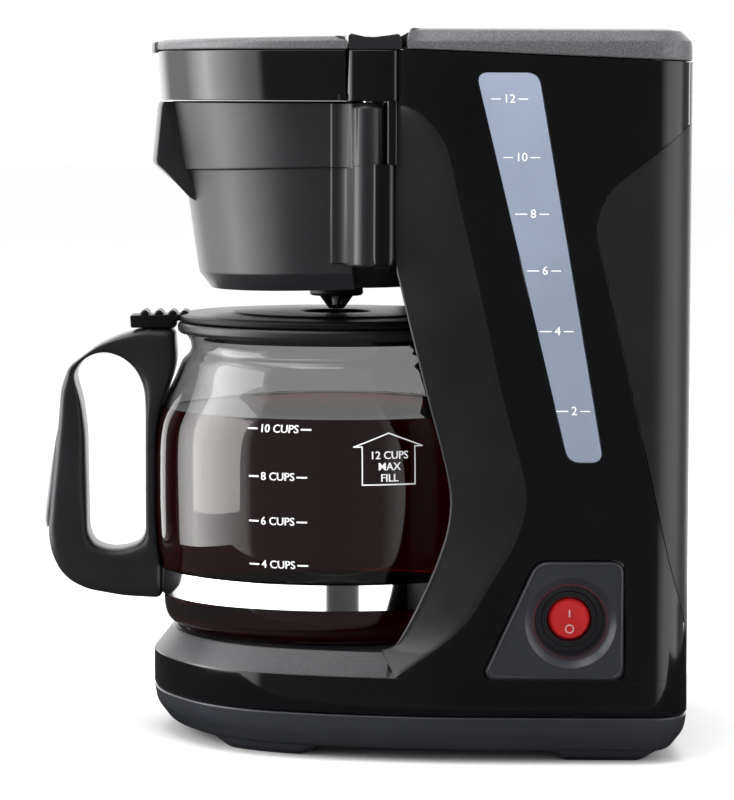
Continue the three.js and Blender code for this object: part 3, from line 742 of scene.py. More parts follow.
def bar_mark(x0: float, x1: float, z0: float, z1: float, steps: int = 6) -> tuple:
    """A flat oblong mark as points (across, up) and faces."""
    across = np.linspace(x0, x1, steps)
    points = np.concatenate([np.column_stack([across, np.full(steps, z)]) for z in (z0, z1)])
    faces = [[i, i + 1, i + 1 + steps, i + steps] for i in range(steps - 1)]
    return points, faces


# ---------------------------------------------------------------- base


@dataclass
class Base:
    """The base: bottom tray, feet, gloss shell with its textured slope, and the warming plate."""

    seam: float = 19.3
    crease: float = 34.5
    rim: float = 44.0
    rim_inset: float = 7.5
    plate_radius: float = 64.0

    def build(self) -> None:
        """Makes every piece of the base."""
        self.shell()
        self.tray()
        self.feet()
        self.plate()

    def shell(self) -> None:
        """The shell: the plan carried up its wall, over the slope and across to the plate's hole."""
        maker = MeshMaker("base_shell_skin")
        loop = PLAN.whole()
        wall = eased([(3.0, self.seam + 0.35), (0.5, self.seam + 0.35), (0.0, 20.4), (0.0, self.crease),
                      (self.rim_inset - 1.6, self.rim - 2.1), (self.rim_inset, self.rim),
                      (10.0, self.rim)], 0.7)
        outer = np.stack([self.tucked(loop, inset, z) for inset, z in wall])
        hole = self.plate_radius + 2.6
        angle = np.arctan2(outer[-1][:, 1], outer[-1][:, 0])
        circle = np.column_stack([hole * np.cos(angle), hole * np.sin(angle)])
        deck = [outer[-1] * (1 - w) + lift(circle, self.rim) * w for w in (0.5, 0.97)]
        lip = [lift(circle, self.rim - 0.25), lift(circle, self.rim - 3.0)]
        under = shelled(loop, [(11.0, self.rim - 3.0), (3.0, self.crease - 1), (3.0, self.seam + 0.35)])
        rows = np.concatenate([outer, np.stack([*deck, *lip]), under])
        slot = np.zeros((len(rows) - 1, len(loop)), int)
        height = outer[:-1, 0, 2]
        slot[: len(outer) - 1][(height > self.crease - 0.2) & (height < self.rim - 0.2)] = 1
        slot[len(outer) - 1:] = 2
        slot[: len(outer) - 1][height >= self.rim - 0.2] = 2
        maker.grid(rows, True, slot)
        shell = maker.finish("machine", [GLOSS, CHAMFER, COATED], ("base_shell",), "gloss_black")
        angle = once_round(32)
        gland = [np.column_stack([-40 + 6.2 * np.cos(angle), np.full(32, y), 27 + 6.2 * np.sin(angle)])
                 for y in (146.0, 139.0)]
        cut_with(shell, [np.stack(gland)])

    def tucked(self, loop: Array, inset: float, z: float) -> Array:
        """One ring of the shell, which passes under the tower's walls wherever they stand on it.

        Args:
            loop: the plan.
            inset: the ring's inset where it shows.
            z: its height.

        Returns:
            The ring, straight up to the walls' foot and 3.4 mm further in above it.
        """
        front = 19 + (44.6 - z) * 0.62 if z > self.crease + 0.1 else 25.3
        under = np.clip((loop[:, 1] - front - 0.6) / 0.9, 0, 1)[:, None]
        extra = 3.4 * under if z > self.crease + 0.1 else -inset * under
        if z < 21:
            extra = 0.0 * under
        return lift(loop + (inset + extra) * inward(loop), z)

    def tray(self) -> None:
        """The bottom tray, its wall curving in under the seam."""
        maker = MeshMaker("bottom_cover_skin")
        side = eased([(3.0, self.seam - 0.2), (0.6, self.seam - 0.2), (0.1, self.seam - 0.8), (1.2, 12.4),
                      (6.6, 5.4), (9.4, 4.0), (14.0, 3.8)], 2.4, 7)
        rows = shelled(PLAN.whole(), side)
        floor = closing(rows[-1], 5)
        lid = closing(rows[0], 3)[::-1]
        lid[:, :, 2] = self.seam - 0.2
        maker.grid(np.concatenate([lid, rows, floor]), True, 0, True)
        maker.finish("machine", [SLATE], ("bottom_cover",), "slate", sharp=50)

    def feet(self) -> None:
        """Four feet that swell out of the tray: their sole dips by smooth steps at both ends."""
        rim = drawn_in(PLAN.whole(), 8.6)
        right = rim[(rim[:, 0] > 0) & (rim[:, 1] < 134)]
        right = right[np.argsort(right[:, 1])]
        for row, (y0, y1) in {"front": (-52.0, -4.0), "rear": (84.0, 133.0)}.items():
            y = np.linspace(y0, y1, 48)
            step = np.clip(np.minimum(y - y0, y1 - y) / 11.0, 0, 1)
            low = 4.3 - 4.3 * step**2 * (3 - 2 * step)
            outer = np.interp(y, right[:, 1], right[:, 0])
            section = [(0.0, 0.9), (0.6, 0.62), (2.4, 0.22), (4.2, 0.02), (6.0, 0.0), (22.0, 0.0),
                       (24.5, 0.1),
                       (26.5, 0.5), (27.5, 1.0), (14.0, 1.0)]
            rows = np.stack([np.column_stack([outer - inset, y, low + share * (4.9 - low)])
                             for inset, share in section], 1)
            for side in Side:
                maker = MeshMaker(f"foot_{row}_{side.name.lower()}_pad")
                maker.grid(rows * (side.value, 1, 1), True, 0, True)
                maker.finish("machine", [SLATE], (f"foot_{row}_{side.name.lower()}",), "foot_rubber",
                             sharp=50)

    def plate(self) -> None:
        """The warming plate, dished with a rolled rim, and the dark seal round it."""
        r = self.plate_radius
        profile = eased([(0.01, 43.6), (r - 20, 43.7), (r - 7, 43.8), (r - 4, 44.15), (r - 1.6, 44.15),
                         (r, 43.2), (r, 41.0), (r - 2, 39.0), (r - 3.4, 42.6), (0.01, 42.8)], 1.0)
        maker = MeshMaker("warming_plate_disc")
        maker.grid(turned(profile, 120), True)
        maker.finish("machine", [COATED], ("warming_plate",), "coated_plate")
        dress("plate_seal", RUBBER)
        for node in ("heater_element", "heater_clamp", *(f"cover_screw_{k}" for k in (1, 2, 3, 4))):
            dress(node, STEEL)
        dress("thermostat", SATIN)
        dress("thermal_fuse", SILVER)
        dress("terminal_block", SILICONE)
        gland = MeshMaker("cord_gland_ring")
        angle = once_round(40)
        stations = [(131.0, 4.0), (131.0, 5.9), (142.4, 5.9), (142.9, 5.4), (142.9, 3.6),
                    (142.2, 3.0), (136.0, 3.0)]
        rings = [np.column_stack([-40 + q * np.cos(angle), np.full(40, y), 27 + q * np.sin(angle)])
                 for y, q in stations]
        gland.grid(np.stack(rings), True, 0, True)
        gland.finish("machine", [RUBBER], ("cord_gland",), "foot_rubber")


# ---------------------------------------------------------------- tower


@dataclass
class Tower:
    """The tower: two side walls with their swept facet, the back, the bay and the level window."""

    low: float = 34.56
    high: float = 285.9
    wall: float = 3.0
    edge: tuple = (
        (25.8, 265), (25.2, 240), (25.2, 205), (28.3, 188), (37.2, 152), (46.5, 115.8),
        (47.4, 99), (43, 82), (33.2, 59.3), (26, 47.5), (19, 44.6),
    )
    crease: tuple = (
        (26.6, 264.6), (35.4, 259.2), (44, 247.5), (49.3, 226.4), (58.8, 185.9), (67.3, 147.7),
        (76.4, 112), (73.7, 92.6), (63.1, 73.5), (50.4, 54.4), (25, 35),
    )
    seam: tuple = (
        (141.6, 256.4), (132.3, 248.6), (118.9, 238.2), (109.3, 230), (104.4, 218.9),
        (104.4, 211), (110.7, 185.4), (130.9, 96.3), (135.4, 78), (140.0, 62), (142.2, 50), (142.4, 34),
    )
    depth_at: tuple = ((34.5, 0.0), (44.0, 7.4), (46.0, 7.3), (60, 6.6), (112, 5.0), (188, 3.4),
                       (265, 2.0))
    window: tuple = ((93.4, 122), (107.4, 122), (80.6, 277), (55.8, 277))
    marks: tuple = ((12, 266.5), (10, 243.4), (8, 221.0), (6, 198.5), (4, 174.4), (2, 142.6))

    def build(self) -> None:
        """Makes every piece of the tower."""
        for side in Side:
            self.side_wall(side)
        self.back()
        self.bay()
        self.level_window()
        for node, finish in (("basket_bay_wall", SATIN), ("water_tank", TANK), ("check_valve", SILICONE),
                             ("inlet_hose", SILICONE), ("riser_tube", SILICONE)):
            dress(node, finish)

    def line(self, points: tuple, z: Array) -> Array:
        """The y of a side-view curve at each height."""
        curve = spline(list(points), np.linspace(0, 1, 400))
        order = np.argsort(curve[:, 1])
        return np.interp(z, curve[order, 1], curve[order, 0])

    def heights(self) -> Array:
        """Rows of the walls, closer together where the outlines bend."""
        return np.unique(np.concatenate([
            np.linspace(self.low, 64, 44), np.linspace(64, 130, 56), np.linspace(130, 245, 50),
            np.linspace(245, 268, 40), np.linspace(268, self.high, 6),
        ]))

    @staticmethod
    def lowered(rows: Array) -> Array:
        """Rows whose top edge sinks towards the back, as the lid's rim does over it."""
        fall = 0.040 * np.clip(rows[:, :, 1] - 28, 0, None)
        rows[:, :, 2] -= fall * np.clip((rows[:, :, 2] - 268) / 17.5, 0, 1)
        return rows

    def side_wall(self, side: Side) -> None:
        """One side wall.

        Each level is a closed loop: the front edge's round, the facet up to its crease, the gloss
        panel to the rear seam, and the same line back again one wall further in. The facet lies
        under the plan by depth * (1 - share), share running from its edge to its crease.

        Args:
            side: which wall.
        """
        z = self.heights()
        front = np.where(z < 44.6, 19 + (44.6 - z) * 0.62, self.line(self.edge, z))
        front = np.where(z > 264.6, 25.8, front)
        crease = np.maximum(np.where(z > 264.0, 26.4, self.line(self.crease, z)), front + 0.3)
        back = np.where(z > 256.4, 141.6, self.line(self.seam, z)) - 0.25
        depth = np.interp(z, *np.transpose(self.depth_at))
        share = np.concatenate([np.linspace(0, 1, 18), 1 + np.linspace(0, 1, 46)[1:]])
        facet = np.clip(share, 0, 1)
        panel = np.clip(share - 1, 0, 1)
        run, along = PLAN.side_table()
        first = np.interp(crease, along, run)[:, None]
        last = np.interp(back, along, run)[:, None]
        y = front[:, None] + (crease - front)[:, None] * facet
        y = np.where(panel > 0, np.interp(first + (last - first) * panel, run, along), y)
        drop = depth[:, None] * (1 - facet)
        ease = 0.28 * np.exp(-(((y - crease[:, None]) / 1.1) ** 2))
        x = PLAN.width_at(y) - drop - ease
        turn = np.linspace(math.pi / 2, 0, 7)[1:-1]
        lip = (0.05 + 1.25 * np.clip((z - 43.5) / 8, 0, 1))[:, None]
        lip_y = front[:, None] - lip * np.cos(turn)
        lip_x = x[:, :1] - lip + lip * np.sin(turn)
        outer = np.concatenate([np.stack([lip_x[:, ::-1], lip_y[:, ::-1]], -1), np.stack([x, y], -1)], 1)
        inner_x = x - self.wall
        inner_lip = np.repeat(inner_x[:, :1], lip_y.shape[1], 1)
        inner = np.concatenate([np.stack([inner_lip, lip_y[:, ::-1]], -1), np.stack([inner_x, y], -1)], 1)
        loop = np.concatenate([outer, inner[:, ::-1]], 1)
        rows = np.concatenate([loop, np.broadcast_to(z[:, None, None], (*loop.shape[:2], 1))], 2)
        rows[:, :, 0] *= side.value
        rows = self.lowered(rows)
        columns = loop.shape[1]
        slot = np.zeros(columns, int)
        facet_columns = 18 + 4
        slot[:facet_columns] = 1
        slot[columns // 2:] = 1
        maker = MeshMaker(f"side_wall_{side.name.lower()}")
        maker.grid(rows, True, slot)
        half = columns // 2
        for row in (rows[0], rows[-1]):
            strip = np.stack([row[:half], row[half:][::-1]])
            maker.grid(strip, False, 0)
        node = f"side_panel_{side.name.lower()}"
        wall = maker.finish("machine", [GLOSS, FACET], (node,), "gloss_black", sharp=24)
        if side is Side.RIGHT:
            opening = rounded(list(self.window), 5.0)
            grown = drawn_in(opening, -0.35)
            bezel = drawn_in(Switch().outline(), -0.6)
            cutters = [np.stack([np.column_stack([np.full(len(o), v), o]) for v in (88.0, 99.0)])
                       for o in (grown, bezel)]
            cut_with(wall, cutters)

    def back(self) -> None:
        """The back cover: levels of a line round the rear corners, from seam to seam."""
        z = self.heights()
        start = np.where(z > 256.4, 141.6, self.line(self.seam, z)) + 0.15
        straight = PLAN.rear - PLAN.corner
        ratio = np.clip((start - straight) / PLAN.corner, 0, 1)
        along = np.where(start < straight, start - 100, straight - 100 + PLAN.corner * np.arcsin(ratio))
        corner_end = straight - 100 + PLAN.corner * math.pi / 2
        t = np.linspace(0, 1, 40)
        s = along[:, None] + (corner_end - along)[:, None] * t
        angle = np.clip((s - (straight - 100)) / PLAN.corner, 0, math.pi / 2)
        flat_y = np.minimum(100 + s, straight)
        levels = []
        for inset in (0.12, 0.12 + self.wall):
            radius = PLAN.corner - inset
            x = PLAN.half_width - PLAN.corner + radius * np.cos(angle)
            y = flat_y + radius * np.sin(angle)
            middle = np.linspace(1, -1, 30)[1:-1]
            mx = x[:, -1:] * middle
            my = np.repeat(y[:, -1:], len(middle), 1)
            levels.append(np.stack([np.concatenate([x, mx, -x[:, ::-1]], 1),
                                    np.concatenate([y, my, y[:, ::-1]], 1)], -1))
        loop = np.concatenate([levels[0], levels[1][:, ::-1]], 1)
        rows = np.concatenate([loop, np.broadcast_to(z[:, None, None], (*loop.shape[:2], 1))], 2)
        rows = self.lowered(rows)
        maker = MeshMaker("rear_cover_skin")
        maker.grid(rows, True)
        half = loop.shape[1] // 2
        for row in (rows[0], rows[-1]):
            maker.grid(np.stack([row[:half], row[half:][::-1]]), False)
        cover = maker.finish("machine", [REAR], ("rear_cover",), "satin_black", sharp=28)
        slits = []
        for k in range(5):
            low = 60 + 7 * k
            outline = rounded([(20, low), (60, low), (60, low + 2.5), (20, low + 2.5)], 1.2)
            slits.append(np.stack([np.column_stack([outline[:, 0], np.full(len(outline), y),
                                                    outline[:, 1]])
                                   for y in (146.0, 136.0)]))
        cut_with(cover, slits)

    def bay(self) -> None:
        """The hollow wall behind the carafe: an arc about the carafe's axis with flat wings."""
        inner, thick = 80.5, 2.5
        angle = np.linspace(0.2 * math.pi, 0.8 * math.pi, 60)
        arc = np.column_stack([np.cos(angle), np.sin(angle)])
        face = np.concatenate([[(84, 47.8)], arc * inner, [(-84, 47.8)]])
        rear = np.concatenate([[(84, 50.3)], arc * (inner + thick), [(-84, 50.3)]])
        loop = np.concatenate([face, rear[::-1]])
        maker = MeshMaker("bay_wall")
        rows = np.stack([lift(loop, z) for z in np.linspace(44.3, 182.0, 12)])
        maker.grid(rows, True)
        half = len(face)
        for row in (rows[0], rows[-1]):
            maker.grid(np.stack([row[:half], row[half:][::-1]]), False)
        outline = np.concatenate([[(84, 50.4)], arc * (inner + 0.4), [(-84, 50.4)], [(-84, 83)],
                                  [(84, 83)]])
        rings = np.stack([lift(outline, z) for z in (180.4, 183.2)])
        maker.grid(rings, True)
        split = len(arc) + 2
        for ring in rings:
            across = np.linspace(84, -84, split)
            rim = np.column_stack([across, np.full(split, 83.0), np.full(split, ring[0, 2])])
            maker.grid(np.stack([ring[:split], rim]), False)
        maker.finish("machine", [SATIN], ("tower_front_wall",), "satin_black")

    def level_window(self) -> None:
        """The milky level window, with its printed numbers and ticks."""
        outline = rounded(list(self.window), 5.0)
        maker = MeshMaker("level_window")
        rows = slab_x(outline, 91.7, 95.05, 0.5)
        maker.grid(np.concatenate([rows, closing(rows[-1], 3)]), True, 0, True)
        maker.finish("machine", [WINDOW], ("water_window",), "window_blue")
        print_maker = MeshMaker("window_marks")
        for number, z in self.marks:
            left = 60.2 + (277 - z) * 0.2145
            middle = left + 6.6
            points, faces = lettering(str(number), 3.5)
            self.print_flat(print_maker, points + (middle, z), faces)
            half = 2.4 + 1.1 * (number > 9)
            for x0, x1 in ((left - 0.6, middle - half), (middle + half, middle + half + 3.9)):
                self.print_flat(print_maker, *bar_mark(x0, x1, z - 0.22, z + 0.22))
        print_maker.finish("machine", [PRINT], (), "window_blue")

    @staticmethod
    def print_flat(maker: MeshMaker, points: Array, faces: list) -> None:
        """Lays printed points (y, z) on the window's face."""
        maker.patch(np.column_stack([np.full(len(points), 95.12), points]), faces)


# ---------------------------------------------------------------- head


@dataclass
class Head:
    """The head over the basket: its gloss band and floor, the top covers and the two posts."""

    floor: float = 265.5
    top: float = 285.8
    column_front: float = 4.3
    column_back: float = 25.5

    def build(self) -> None:
        """Makes every piece of the head."""
        self.band()
        self.front_cover()
        self.bridge()
        self.tank_lid()
        for side in Side:
            self.column(side)
        for node in ("lid_pin_left", "lid_pin_right", "basket_hinge_pin"):
            dress(node, STEEL)
        dress("spray_head", TANK)

    def front_loop(self, back: float, count: int = 220) -> Array:
        """The front of the plan closed by a straight line at `back`."""
        line = PLAN.front_line(back, count)
        edge = segment(tuple(line[-1]), tuple(line[0]), 60)[1:]
        return np.concatenate([line, edge])

    def band(self) -> None:
        """The band round the head, leaning in 1.6 mm towards its lower edge, and its floor."""
        line = PLAN.front_line(self.column_front - 0.3, 260)
        slope = np.gradient(line, axis=0)
        slope /= np.linalg.norm(slope, axis=1)[:, None]
        inner = np.stack([-slope[:, 1], slope[:, 0]], 1)
        profile = eased([(4.6, self.floor), (1.6, self.floor), (0.05, self.top - 0.1),
                         (3.0, self.top - 0.1), (4.6, self.floor + 0.6)], 0.45)
        rows = np.stack([np.column_stack([line + inset * inner, np.full(len(line), z)])
                         for inset, z in profile])
        maker = MeshMaker("head_band")
        loops = np.swapaxes(rows, 0, 1)
        maker.grid(loops, True, 0, True)
        maker.finish("machine", [GLOSS], ("head_housing",), "gloss_black", sharp=36)
        floor = MeshMaker("head_floor")
        loop = drawn_in(self.front_loop(4.0), 3.0)
        angle = np.arctan2(loop[:, 1] + 20, loop[:, 0])
        hole = np.column_stack([14.3 * np.cos(angle), 14.3 * np.sin(angle)])
        rings = [lift(loop, self.floor + 0.1), lift(hole, self.floor + 0.1), lift(hole, 268.0),
                 lift(loop, 268.0), lift(loop, self.floor + 0.1)]
        floor.grid(np.stack(rings), True)
        floor.finish("machine", [SATIN], (), "gloss_black")

    def front_cover(self) -> None:
        """The textured front cover: a flat lip, an eased edge and a top that rises to the back."""
        loop = self.front_loop(4.9)
        profile = eased([(3.0, 286.1), (0.1, 286.1), (0.0, 289.6), (1.6, 291.2), (4.0, 291.6)], 1.0)
        rows = shelled(loop, profile)
        lifted = rows.copy()
        lifted[:, :, 2] += np.clip((rows[:, :, 2] - 287) / 4, 0, 1) * (0.014 * (rows[:, :, 1] - 20))
        top = closing(lifted[-1], 10)
        bottom = closing(lifted[0], 3)[::-1]
        maker = MeshMaker("front_cover_skin")
        maker.grid(np.concatenate([bottom, lifted, top]), True, 0, True)
        maker.finish("machine", [TEXTURED], ("top_cover_front",), "textured_grey", sharp=40)
        tab = MeshMaker("front_cover_tab")
        across = np.linspace(-16, 16, 24)
        front = np.interp(across, PLAN.dense[:, 0], PLAN.dense[:, 1])
        section = [(0.6, 289.6), (-0.8, 289.2), (-1.0, 285.6), (-0.5, 285.0), (0.0, 285.2), (0.6, 287)]
        rows = np.stack([np.column_stack([across, front + a, np.full(24, z)]) for a, z in section])
        tab.grid(np.swapaxes(rows, 0, 1), True, 0, True)
        tab.finish("machine", [TEXTURED], (), "textured_grey")

    def bridge(self) -> None:
        """The saddle between the covers: a dipped section carried from side to side.

        Each point of the section runs from -1 to 1 times the housing's half width at its own y,
        so that both ends follow the plan.
        """
        section = np.asarray(eased([(15, 286.1), (26.4, 286.1), (26.4, 290.6), (25.2, 292.1), (21, 291.5),
                                    (15.5, 290.8), (10, 291.1), (6.2, 292.3), (5.2, 291.2), (5.2, 286.1),
                                    (15, 286.1)], 0.8))[:-1]
        share = np.concatenate([[-0.997], np.linspace(-1, 1, 42)[1:-1], [0.997]])
        width = PLAN.width_at(section[:, 0])
        rows = np.stack([np.column_stack([width * t, section]) for t in share])
        maker = MeshMaker("top_bridge_skin")
        maker.grid(rows, True, 0, True)
        ear = rounded([(25, 287.5), (31.8, 287.5), (32.6, 291.5), (30, 293.8), (25, 291)], 1.2)
        for x in (-40, 40):
            maker.grid(slab_x(ear, x - 3.0, x + 3.0, 0.3), True, 0, True)
        maker.finish("machine", [SATIN], ("top_bridge",), "satin_black")

    def tank_lid(self) -> None:
        """The tank lid: bevelled all round, hollow underneath."""
        line = PLAN.front_line(61.5, 200)
        right = line[(line[:, 0] > 0) & (line[:, 1] > 27.9)]
        side = segment((95.0, 64.0), (95.0, 125.0), 14)
        loop = np.concatenate([right, side, PLAN.rear_arc(), side[::-1] * (-1, 1), right[::-1] * (-1, 1)])
        edge = segment(tuple(loop[-1]), tuple(loop[0]), 60)[1:]
        loop = np.concatenate([loop, edge])
        front = np.clip((loop[:, 1] - 27.9) / 5.0, 0.25, 1)
        profile = eased([(10.0, 291.4), (3.6, 288.4), (3.4, 286.5), (0.8, 286.3), (0.3, 286.8),
                         (0.3, 289.2), (5.0, 293.7), (9.5, 294.4)], 0.6)
        rings = []
        for inset, z in profile:
            ring = loop + (inset * front)[:, None] * inward(loop)
            ring[:, 1] = np.maximum(ring[:, 1], 27.7)
            fall = 0.040 * np.clip(ring[:, 1] - 28, 0, None) * np.clip((289.6 - z) / 1.2, 0, 1)
            rings.append(lift(ring, z - fall))
        rows = np.stack(rings)
        top = closing(rows[-1], 10, 0.03)
        under = closing(rows[0], 6)[::-1]
        maker = MeshMaker("tank_lid_skin")
        maker.grid(np.concatenate([under, rows, top]), True, 0, True)
        lid = maker.finish("tank_lid", [TEXTURED], ("tank_lid",), "textured_grey", sharp=40)
        notch = rounded([(20, 280), (33.4, 280), (33.4, 300), (20, 300)], 0.8)
        cut_with(lid, [slab_x(notch, x - 3.4, x + 3.4, 0.05) for x in (-40, 40)])

    def column(self, side: Side) -> None:
        """A post at the side of the basket: a block in the head, then a slim rounded leg.

        Args:
            side: the hinge is on the right; the left post only closes the gap.
        """
        name = "hinge_column" if side is Side.RIGHT else "latch_column"
        maker = MeshMaker(f"{name}_skin")
        y = np.linspace(self.column_front, self.column_back, 14)
        outer = np.column_stack([PLAN.width_at(y) + 0.25, y])
        loop = rounded([tuple(p) for p in (outer[0], outer[7] + (0.5, 0), outer[-1])]
                       + [(76, self.column_back), (76, self.column_front)], 4.2, 12)
        z0, z1 = self.floor - 0.1, self.top - 0.1
        profile = eased([(2.0, z0), (0.0, z0), (0.0, z1), (2.0, z1)], 0.5)
        maker.grid(shelled(loop, profile), True, 0, True)
        tall = [(76, 14.4), (85.4, 14.4), (86.2, 20.2), (90.8, 20.6), (91.3, 24.9), (76, 24.9)]
        if side is Side.LEFT:
            tall = [(76, 5), (87, 5), (90.6, 14), (91.3, 24.9), (76, 24.9)]
        block = eased([(1.0, 239.8), (0.0, 240.2), (0, 265.6)], 0.3)
        maker.grid(shelled(rounded(tall, 1.6), block), True, 0, True)
        angle = once_round(48)
        power = 2 / 3.2
        leg = np.column_stack([
            82.6 + 8.7 * swollen(np.cos(angle), power),
            19.3 + 5.4 * swollen(np.sin(angle), power),
        ])
        stations = [(4.2, 197.6), (2.2, 198.2), (0.6, 200.0), (0.0, 203.0), (0.0, 240.4)]
        maker.grid(shelled(leg, eased(stations, 1.0)), True, 0, True)
        for k, points in enumerate(maker.points):
            maker.points[k] = points * (side.value, 1, 1)
        maker.finish("machine", [GLOSS, FACET], (name,), "gloss_black")


# ---------------------------------------------------------------- switch


@dataclass
class Switch:
    """The switch: a bevelled plate with a round dish, and the red rocker in it."""

    y: float = 95.0
    z: float = 57.5
    dish: float = 18.2
    floor_radius: float = 13.5
    floor_x: float = 81.4
    face: float = 95.1
    pivot_x: float = 79.5

    def outline(self) -> Array:
        """The plate's outline in side view, counter-clockwise."""
        return rounded([(60.2, 37.4), (62.6, 34.2), (116.4, 34.2), (116.4, 82.5), (80.9, 82.5)], 5.4, 10)

    def build(self) -> None:
        """Makes the plate with its dish, the socket and the rocker."""
        self.plate()
        dress("switch_body", SATIN)
        self.rocker()

    def circle(self, radius: float, angle: Array) -> Array:
        """Points (y, z) on a circle about the switch's middle."""
        return np.column_stack([self.y + radius * np.cos(angle), self.z + radius * np.sin(angle)])

    def plate(self) -> None:
        """The plate: its outline shrinks over a bevel and then becomes the dish's circle."""
        outline = self.outline()
        angle = np.arctan2(outline[:, 1] - self.z, outline[:, 0] - self.y)
        face = self.face
        flat = face - 0.35
        rows = [(drawn_in(outline, 1.0), 91.9), (outline, 92.2), (outline, face - 1.35),
                (drawn_in(outline, 0.2), face - 1.0), (drawn_in(outline, 1.1), face - 0.1),
                (drawn_in(outline, 1.4), face)]
        rim = drawn_in(outline, 1.4)
        rows += [((1 - w) * rim + w * self.circle(self.dish + 1.2, angle), x)
                 for w, x in ((0.03, face - 0.05), (0.06, flat), (0.12, flat), (0.5, flat), (0.9, flat))]
        wall = eased([(self.dish + 0.7, 0.0), (self.dish + 0.2, -0.1), (17.2, 0.9), (15.4, 2.7),
                      (14.4, 4.6),
                      (self.floor_radius + 0.4, 9.0), (self.floor_radius, flat - self.floor_x)], 1.2)
        rows += [(self.circle(radius, angle), flat - depth) for radius, depth in wall]
        rows += [(self.circle(self.floor_radius - 0.5, angle), self.floor_x),
                 (self.circle(11.4, angle), self.floor_x),
                 (self.circle(11.0, angle), self.floor_x + 0.7),
                 (self.circle(9.3, angle), self.floor_x + 0.7),
                 (self.circle(9.0, angle), self.floor_x + 0.2), (self.circle(9.0, angle), 78.0)]
        rings = np.stack([np.column_stack([np.full(len(r), x), r]) for r, x in rows])
        maker = MeshMaker("switch_plate")
        maker.grid(rings, True)
        back = np.stack([rings[-1], np.column_stack([np.full(len(outline), 78.0), self.circle(16.0,
                                                                                              angle)]),
                         np.column_stack([np.full(len(outline), 91.9), self.circle(20.2, angle)]),
                         rings[0]])
        maker.grid(back, True)
        maker.finish("machine", [SLATE], ("switch_bezel",), "slate", sharp=40)

    def rocker(self) -> None:
        """The rocker: a round cap with an eased rim, tilted 7 degrees to its on position."""
        angle = once_round(72)
        stations = [(0.3, 4.15), (4.0, 4.2), (6.9, 4.3), (7.7, 3.9), (8.1, 3.0), (8.4, 1.0), (8.6, -1.0),
                    (8.3, -4.0), (0.3, -4.0)]
        local = np.stack([np.column_stack([np.full(72, x), r * np.cos(angle), r * np.sin(angle)])
                          for r, x in eased(stations, 0.5)])
        hollow = np.exp(-((local[:, :, 2] / 6.0) ** 2)) * 0.5
        local[:, :, 0] -= np.where(local[:, :, 0] > 3.9, hollow, 0)
        maker = MeshMaker("rocker_cap")
        maker.grid(self.tilted(local), True, 0, True)
        maker.finish("switch_rocker", [ROCKER], ("switch_rocker",), "rocker_red", sharp=50)
        marks = MeshMaker("rocker_marks")
        line, faces = bar_mark(-0.28, 0.28, 0.4, 3.4, 3)
        marks.patch(self.tilted(np.column_stack([np.full(len(line), 4.3), line])), faces)
        ring_angle = once_round(48)
        rings = [np.column_stack([np.full(48, 4.36), r * np.cos(ring_angle),
                                  -4.3 + r * np.sin(ring_angle)])
                 for r in (1.8, 1.35)]
        marks.grid(self.tilted(np.stack(rings)), True)
        marks.finish("switch_rocker", [MARK], (), "rocker_red")

    def tilted(self, points: Array) -> Array:
        """Points about the pivot turned to the on position and moved to the switch."""
        lean = math.radians(-7)
        x = points[..., 0] * math.cos(lean) + points[..., 2] * math.sin(lean) + self.pivot_x
        z = -points[..., 0] * math.sin(lean) + points[..., 2] * math.cos(lean) + self.z
        return np.stack([x, points[..., 1] + self.y, z], -1)


# ---------------------------------------------------------------- brew basket


